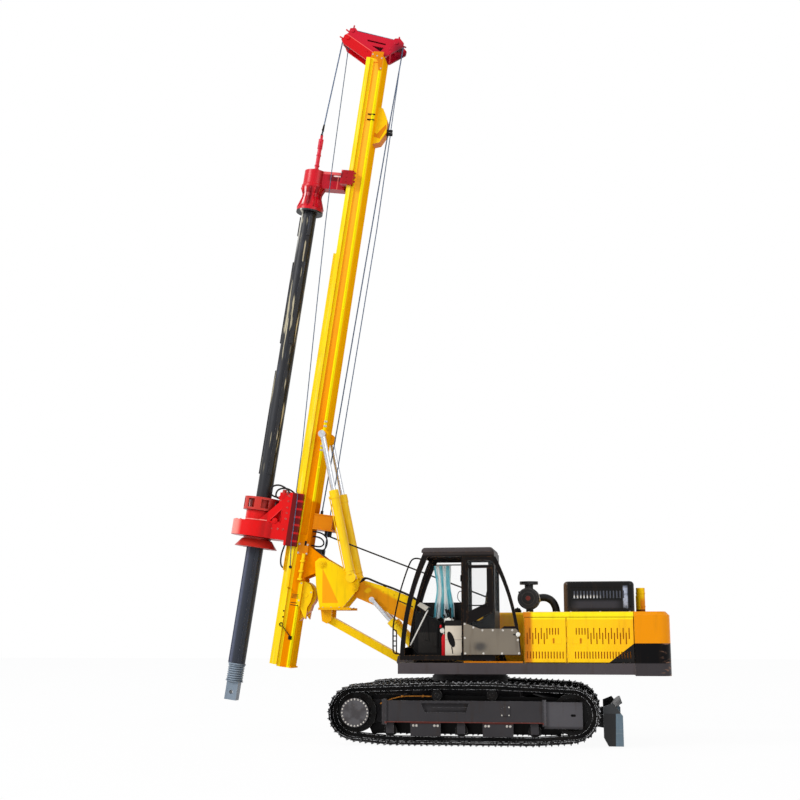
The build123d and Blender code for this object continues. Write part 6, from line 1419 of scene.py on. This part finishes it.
# Rotary head: a welded red carriage that runs on the rails, a cast gearbox bolted under its gussets with two
# motors on top, and the sleeve that it turns. Two hoses feed the motors.
head_red = Enamel("head_red", (222, 10, 14), (166, 2, 10), (120, 40, 40), rough=0.34)
head_n, head_y, head_u = mast_axes(head_red)
head_ribs = (head_u * 46.0).wave().rise(0.5, 0.9)
head_claws = head_n.rise(0.664, 0.658) * head_y.size().rise(0.10, 0.12)
# Painted shade: the recessed claws are dark red; lighter rows on them are painted light on their ribs.
head_red.zone(head_claws, (104, 2, 12))
head_red.zone(head_claws * head_ribs * head_n.rise(0.585, 0.575), (196, 24, 28))
# Painted highlight: the gearbox drum is pale at its front, darker at its back as painted shade, with a pale
# line on its rim.
head_drum = head_n.rise(1.02, 1.06) * head_u.rise(0.30, 0.31)
head_red.zone(head_drum * head_n.rise(1.44, 1.56) * 0.8, (244, 150, 138))
head_red.zone(head_drum * head_n.rise(1.16, 1.06) * 0.6, (176, 2, 10))
head_red.zone(head_u.inside(0.585, 0.600, 0.003) * head_n.rise(1.04, 1.05), (250, 150, 140))
head_red_paint = head_red.done(specular=0.2)
dress(head_red_paint, "head_carriage", "head_gearbox")
GUSSET_FACE_Y = 0.330
sleeve_red = Enamel("sleeve_red", (196, 50, 40), (128, 16, 16), (170, 150, 146), worn=0.9)
sleeve_paint = sleeve_red.done(specular=0.3)
dress(sleeve_paint, "drive_sleeve")
for side, side_name in SIDES:
    face = side * GUSSET_FACE_Y
    bolts("gusset_bolts_" + side_name, "head", [on_mast(0.722, face, u)
        for u in (1.053, 0.965, 0.856, 0.766, 0.664)] + [on_mast(n, face, 0.475)
        for n in (1.120, 1.040, 0.947, 0.834, 0.742)], (0, side, 0), 0.013, 0.009,
        material=sleeve_paint)
    boss = Shape(on_mast)
    boss.pin(0.905, 0.610, side * 0.320, side * 0.345, 0.050, 0.044, 28)
    boss.pin(0.905, 0.610, side * 0.340, side * 0.352, 0.020, sides=6)
    # Raised border of the gusset's window
    for (n0, u0), (n1, u1) in (((0.805, 0.590), (0.805, 0.830)), ((0.800, 0.586), (1.000, 0.586)),
                               ((0.805, 0.830), (1.005, 0.590))):
        boss.bar((n0, side * 0.327, u0), (n1, side * 0.327, u1), 0.010, sides=10)
    for u in (0.26, 0.70, 1.08):
        boss.box(0.596, 0.655, side * 0.250, side * 0.300, u - 0.02, u + 0.02)
    boss.ready("gusset_trim_" + side_name, "head", "red_paint", head_red_paint, 0.003)
MOTOR_N, MOTOR_Y = 0.86, 0.15
motor_trim = Shape(on_mast)
for y in (MOTOR_Y, -MOTOR_Y):
    for u, reach in ((1.10, 0.052), (0.78, 0.101), (0.96, 0.076)):
        motor_trim.post(MOTOR_N, y, u - 0.014, u + 0.014, reach, sides=28)
    motor_trim.post(MOTOR_N, y, 1.11, 1.165, 0.040, 0.034, 24)
    motor_trim.bar((0.90, y, 1.02), (0.948, y, 1.02), 0.026, sides=18)
motor_trim.ready("motor_rings", "head", "red_paint", sleeve_paint, 0.002)
FLANGE_RADIUS, BEHIND_GEARBOX = 0.42, range(8, 13)
bolts("gearbox_bolts", "head", [on_mast(KELLY_N + FLANGE_RADIUS * math.cos(math.tau * k / 20),
    FLANGE_RADIUS * math.sin(math.tau * k / 20), 0.56) for k in range(20) if k not in BEHIND_GEARBOX],
    MAST_UP, 0.015, 0.012, material=head_red_paint)
for side, side_name in SIDES:
    y = side * MOTOR_Y
    hose("motor_hose_" + side_name, "head", along_mast((0.938, y, 1.020), (1.040, y, 1.022),
        (1.105, y * 1.15, 1.075), (1.090, y * 1.45, 1.190), (0.960, y * 1.6, 1.235),
        (0.830, y * 1.65, 1.195), (0.740, y * 1.5, 1.120), (0.702, y * 1.4, 1.040)), 0.015)
hose_ports = Shape(on_mast)
for y in (MOTOR_Y, -MOTOR_Y):
    hose_ports.bar((0.690, y * 1.4, 1.000), (0.704, y * 1.4, 1.050), 0.024, sides=18)
hose_ports.ready("hose_ports", "head", "track_steel", bolt_steel.material, 0.001)


# Kelly and its follower: a ribbed telescopic drill bar of blackened steel, with a sprung square stub, hung on
# a swivel and guided by a red follower that runs on the rails.
kelly_steel = Enamel("kelly_steel", (34, 35, 40), (20, 20, 24), (150, 150, 156), worn=0.6, rough=0.45)
kelly_n, kelly_y, kelly_u = mast_axes(kelly_steel)
kelly_low = kelly_u.rise(0.40, 0.10)
kelly_steel.zone(kelly_low, (40, 44, 54))
# Painted light: the lower bar is lighter on its front side.
kelly_steel.zone(kelly_low * kelly_n.rise(1.300, 1.345), (70, 76, 96))
kelly_streak = grain(kelly_steel, kelly_n, kelly_y, kelly_u, 22.0, 1.3)
kelly_steel.zone(kelly_streak.rise(0.600, 0.645) * kelly_u.rise(1.3, 1.8) * kelly_u.rise(6.10, 6.0),
                 (178, 168, 140))
kelly_steel.zone(kelly_streak.rise(0.40, 0.33) * kelly_u.rise(1.3, 1.8) * 0.6, (74, 80, 96))
# Painted highlight: a pale stripe down the upper bar's front side.
kelly_steel.zone(kelly_n.inside(1.345, 1.385, 0.012) * kelly_u.rise(5.2, 6.0) * 0.85, (214, 210, 196))
dress(kelly_steel.done(specular=0.3), "kelly_outer")
stub_steel = Enamel("stub_steel", (128, 142, 156), (78, 88, 100), (205, 208, 212), worn=0.9)
dress(stub_steel.done(specular=0.4), "kelly_inner")
follower_paint = Enamel("follower_paint", (206, 16, 36), (140, 0, 24), (130, 40, 46), rough=0.32)
fol_n, fol_y, fol_u = mast_axes(follower_paint)
fol_arm = fol_n.rise(1.10, 1.06)
fol_side = fol_arm * fol_y.size().rise(0.09, 0.10)
# Painted shade and light: the arm's sides are darker, darkest low at the mast end, with a pale top band and
# two pale lines as painted highlights.
follower_paint.zone(fol_side, (176, 0, 34))
follower_paint.zone(fol_side * fol_u.rise(6.918, 6.924), (222, 92, 92))
follower_paint.zone(fol_side * fol_u.inside(6.80, 6.918, 0.01) * fol_n.rise(1.02, 0.92), (112, 0, 20))
follower_paint.zone(fol_side * fol_u.inside(6.884, 6.908, 0.006) * fol_n.inside(0.70, 0.88, 0.02),
    (255, 226, 220))
follower_paint.zone(fol_side * fol_n.inside(0.790, 0.802, 0.004) * fol_u.rise(6.90, 6.89), (240, 110, 100))
# Painted shade: the claws are dark red. Painted light: faces turned up are pinker.
follower_paint.zone(fol_n.rise(0.68, 0.66) * fol_y.size().rise(0.10, 0.12), (156, 0, 22))
follower_paint.zone(fol_arm * follower_paint.facing()[2].rise(0.6, 0.8), (255, 112, 112))
# Painted highlight and shade: a pale stripe and a dark band round the spool's waist.
fol_waist = fol_u.inside(6.30, 6.64, 0.03) * fol_n.rise(1.06, 1.10)
follower_paint.zone(fol_waist * fol_n.inside(1.335, 1.375, 0.012), (255, 206, 204))
follower_paint.zone(fol_waist * fol_n.inside(1.215, 1.300, 0.015), (140, 0, 28))
follower_paint.zone(fol_u.rise(7.0, 7.06), (206, 34, 56))
follower_red = follower_paint.done(specular=0.25)
dress(follower_red, "follower")
for side, side_name in SIDES:
    bolts("follower_bolts_" + side_name, "follower", [on_mast(n, side * 0.328, u) for n in (0.45, 0.60)
        for u in (6.74, 6.82, 6.90)], (0, side, 0), 0.014, 0.010, material=follower_red)
follower_trim = Shape(on_mast)
for u, reach in ((7.100, 0.046), (7.300, 0.044), (7.440, 0.046)):
    follower_trim.post(KELLY_N, 0, u - 0.012, u + 0.012, reach, sides=28)
for u in (7.550, 7.660):
    follower_trim.pin(KELLY_N, u, -0.052, 0.052, 0.014, sides=16)
follower_trim.ready("swivel_trim", "follower", "red_paint", follower_red, 0.002)
SPOOL_RIBS = 14
ribs = Shape(on_mast)
for k in range(SPOOL_RIBS):
    # Ribs round the spool's waist
    turn = math.tau * (k + 0.5) / SPOOL_RIBS
    cos_k, sin_k = math.cos(turn), math.sin(turn)
    for (r0, u0), (r1, u1) in (((0.236, 6.270), (0.167, 6.480)), ((0.167, 6.480), (0.167, 6.540)),
                               ((0.167, 6.540), (0.213, 6.650))):
        ribs.bar((KELLY_N + r0 * cos_k, r0 * sin_k, u0), (KELLY_N + r1 * cos_k, r1 * sin_k, u1), 0.013,
            sides=10)
ribs.ready("follower_ribs", "follower", "red_paint", follower_red)
shackle = Shape(on_mast)
for y in (-0.030, 0.030):
    shackle.bar((KELLY_N, y, 7.680), (1.252, y * 0.6, 7.790), 0.009, sides=12)
shackle.pin(1.252, 7.790, -0.034, 0.034, 0.016, sides=14)
shackle.pin(KELLY_N, 7.690, -0.045, 0.045, 0.013, sides=14)
shackle.bar((1.251, 0, 7.800), (1.245, 0, 7.900), 0.020, 0.015, 14)
shackle.ready("rope_shackle", "follower", "black_paint", soot_black, 0.001)
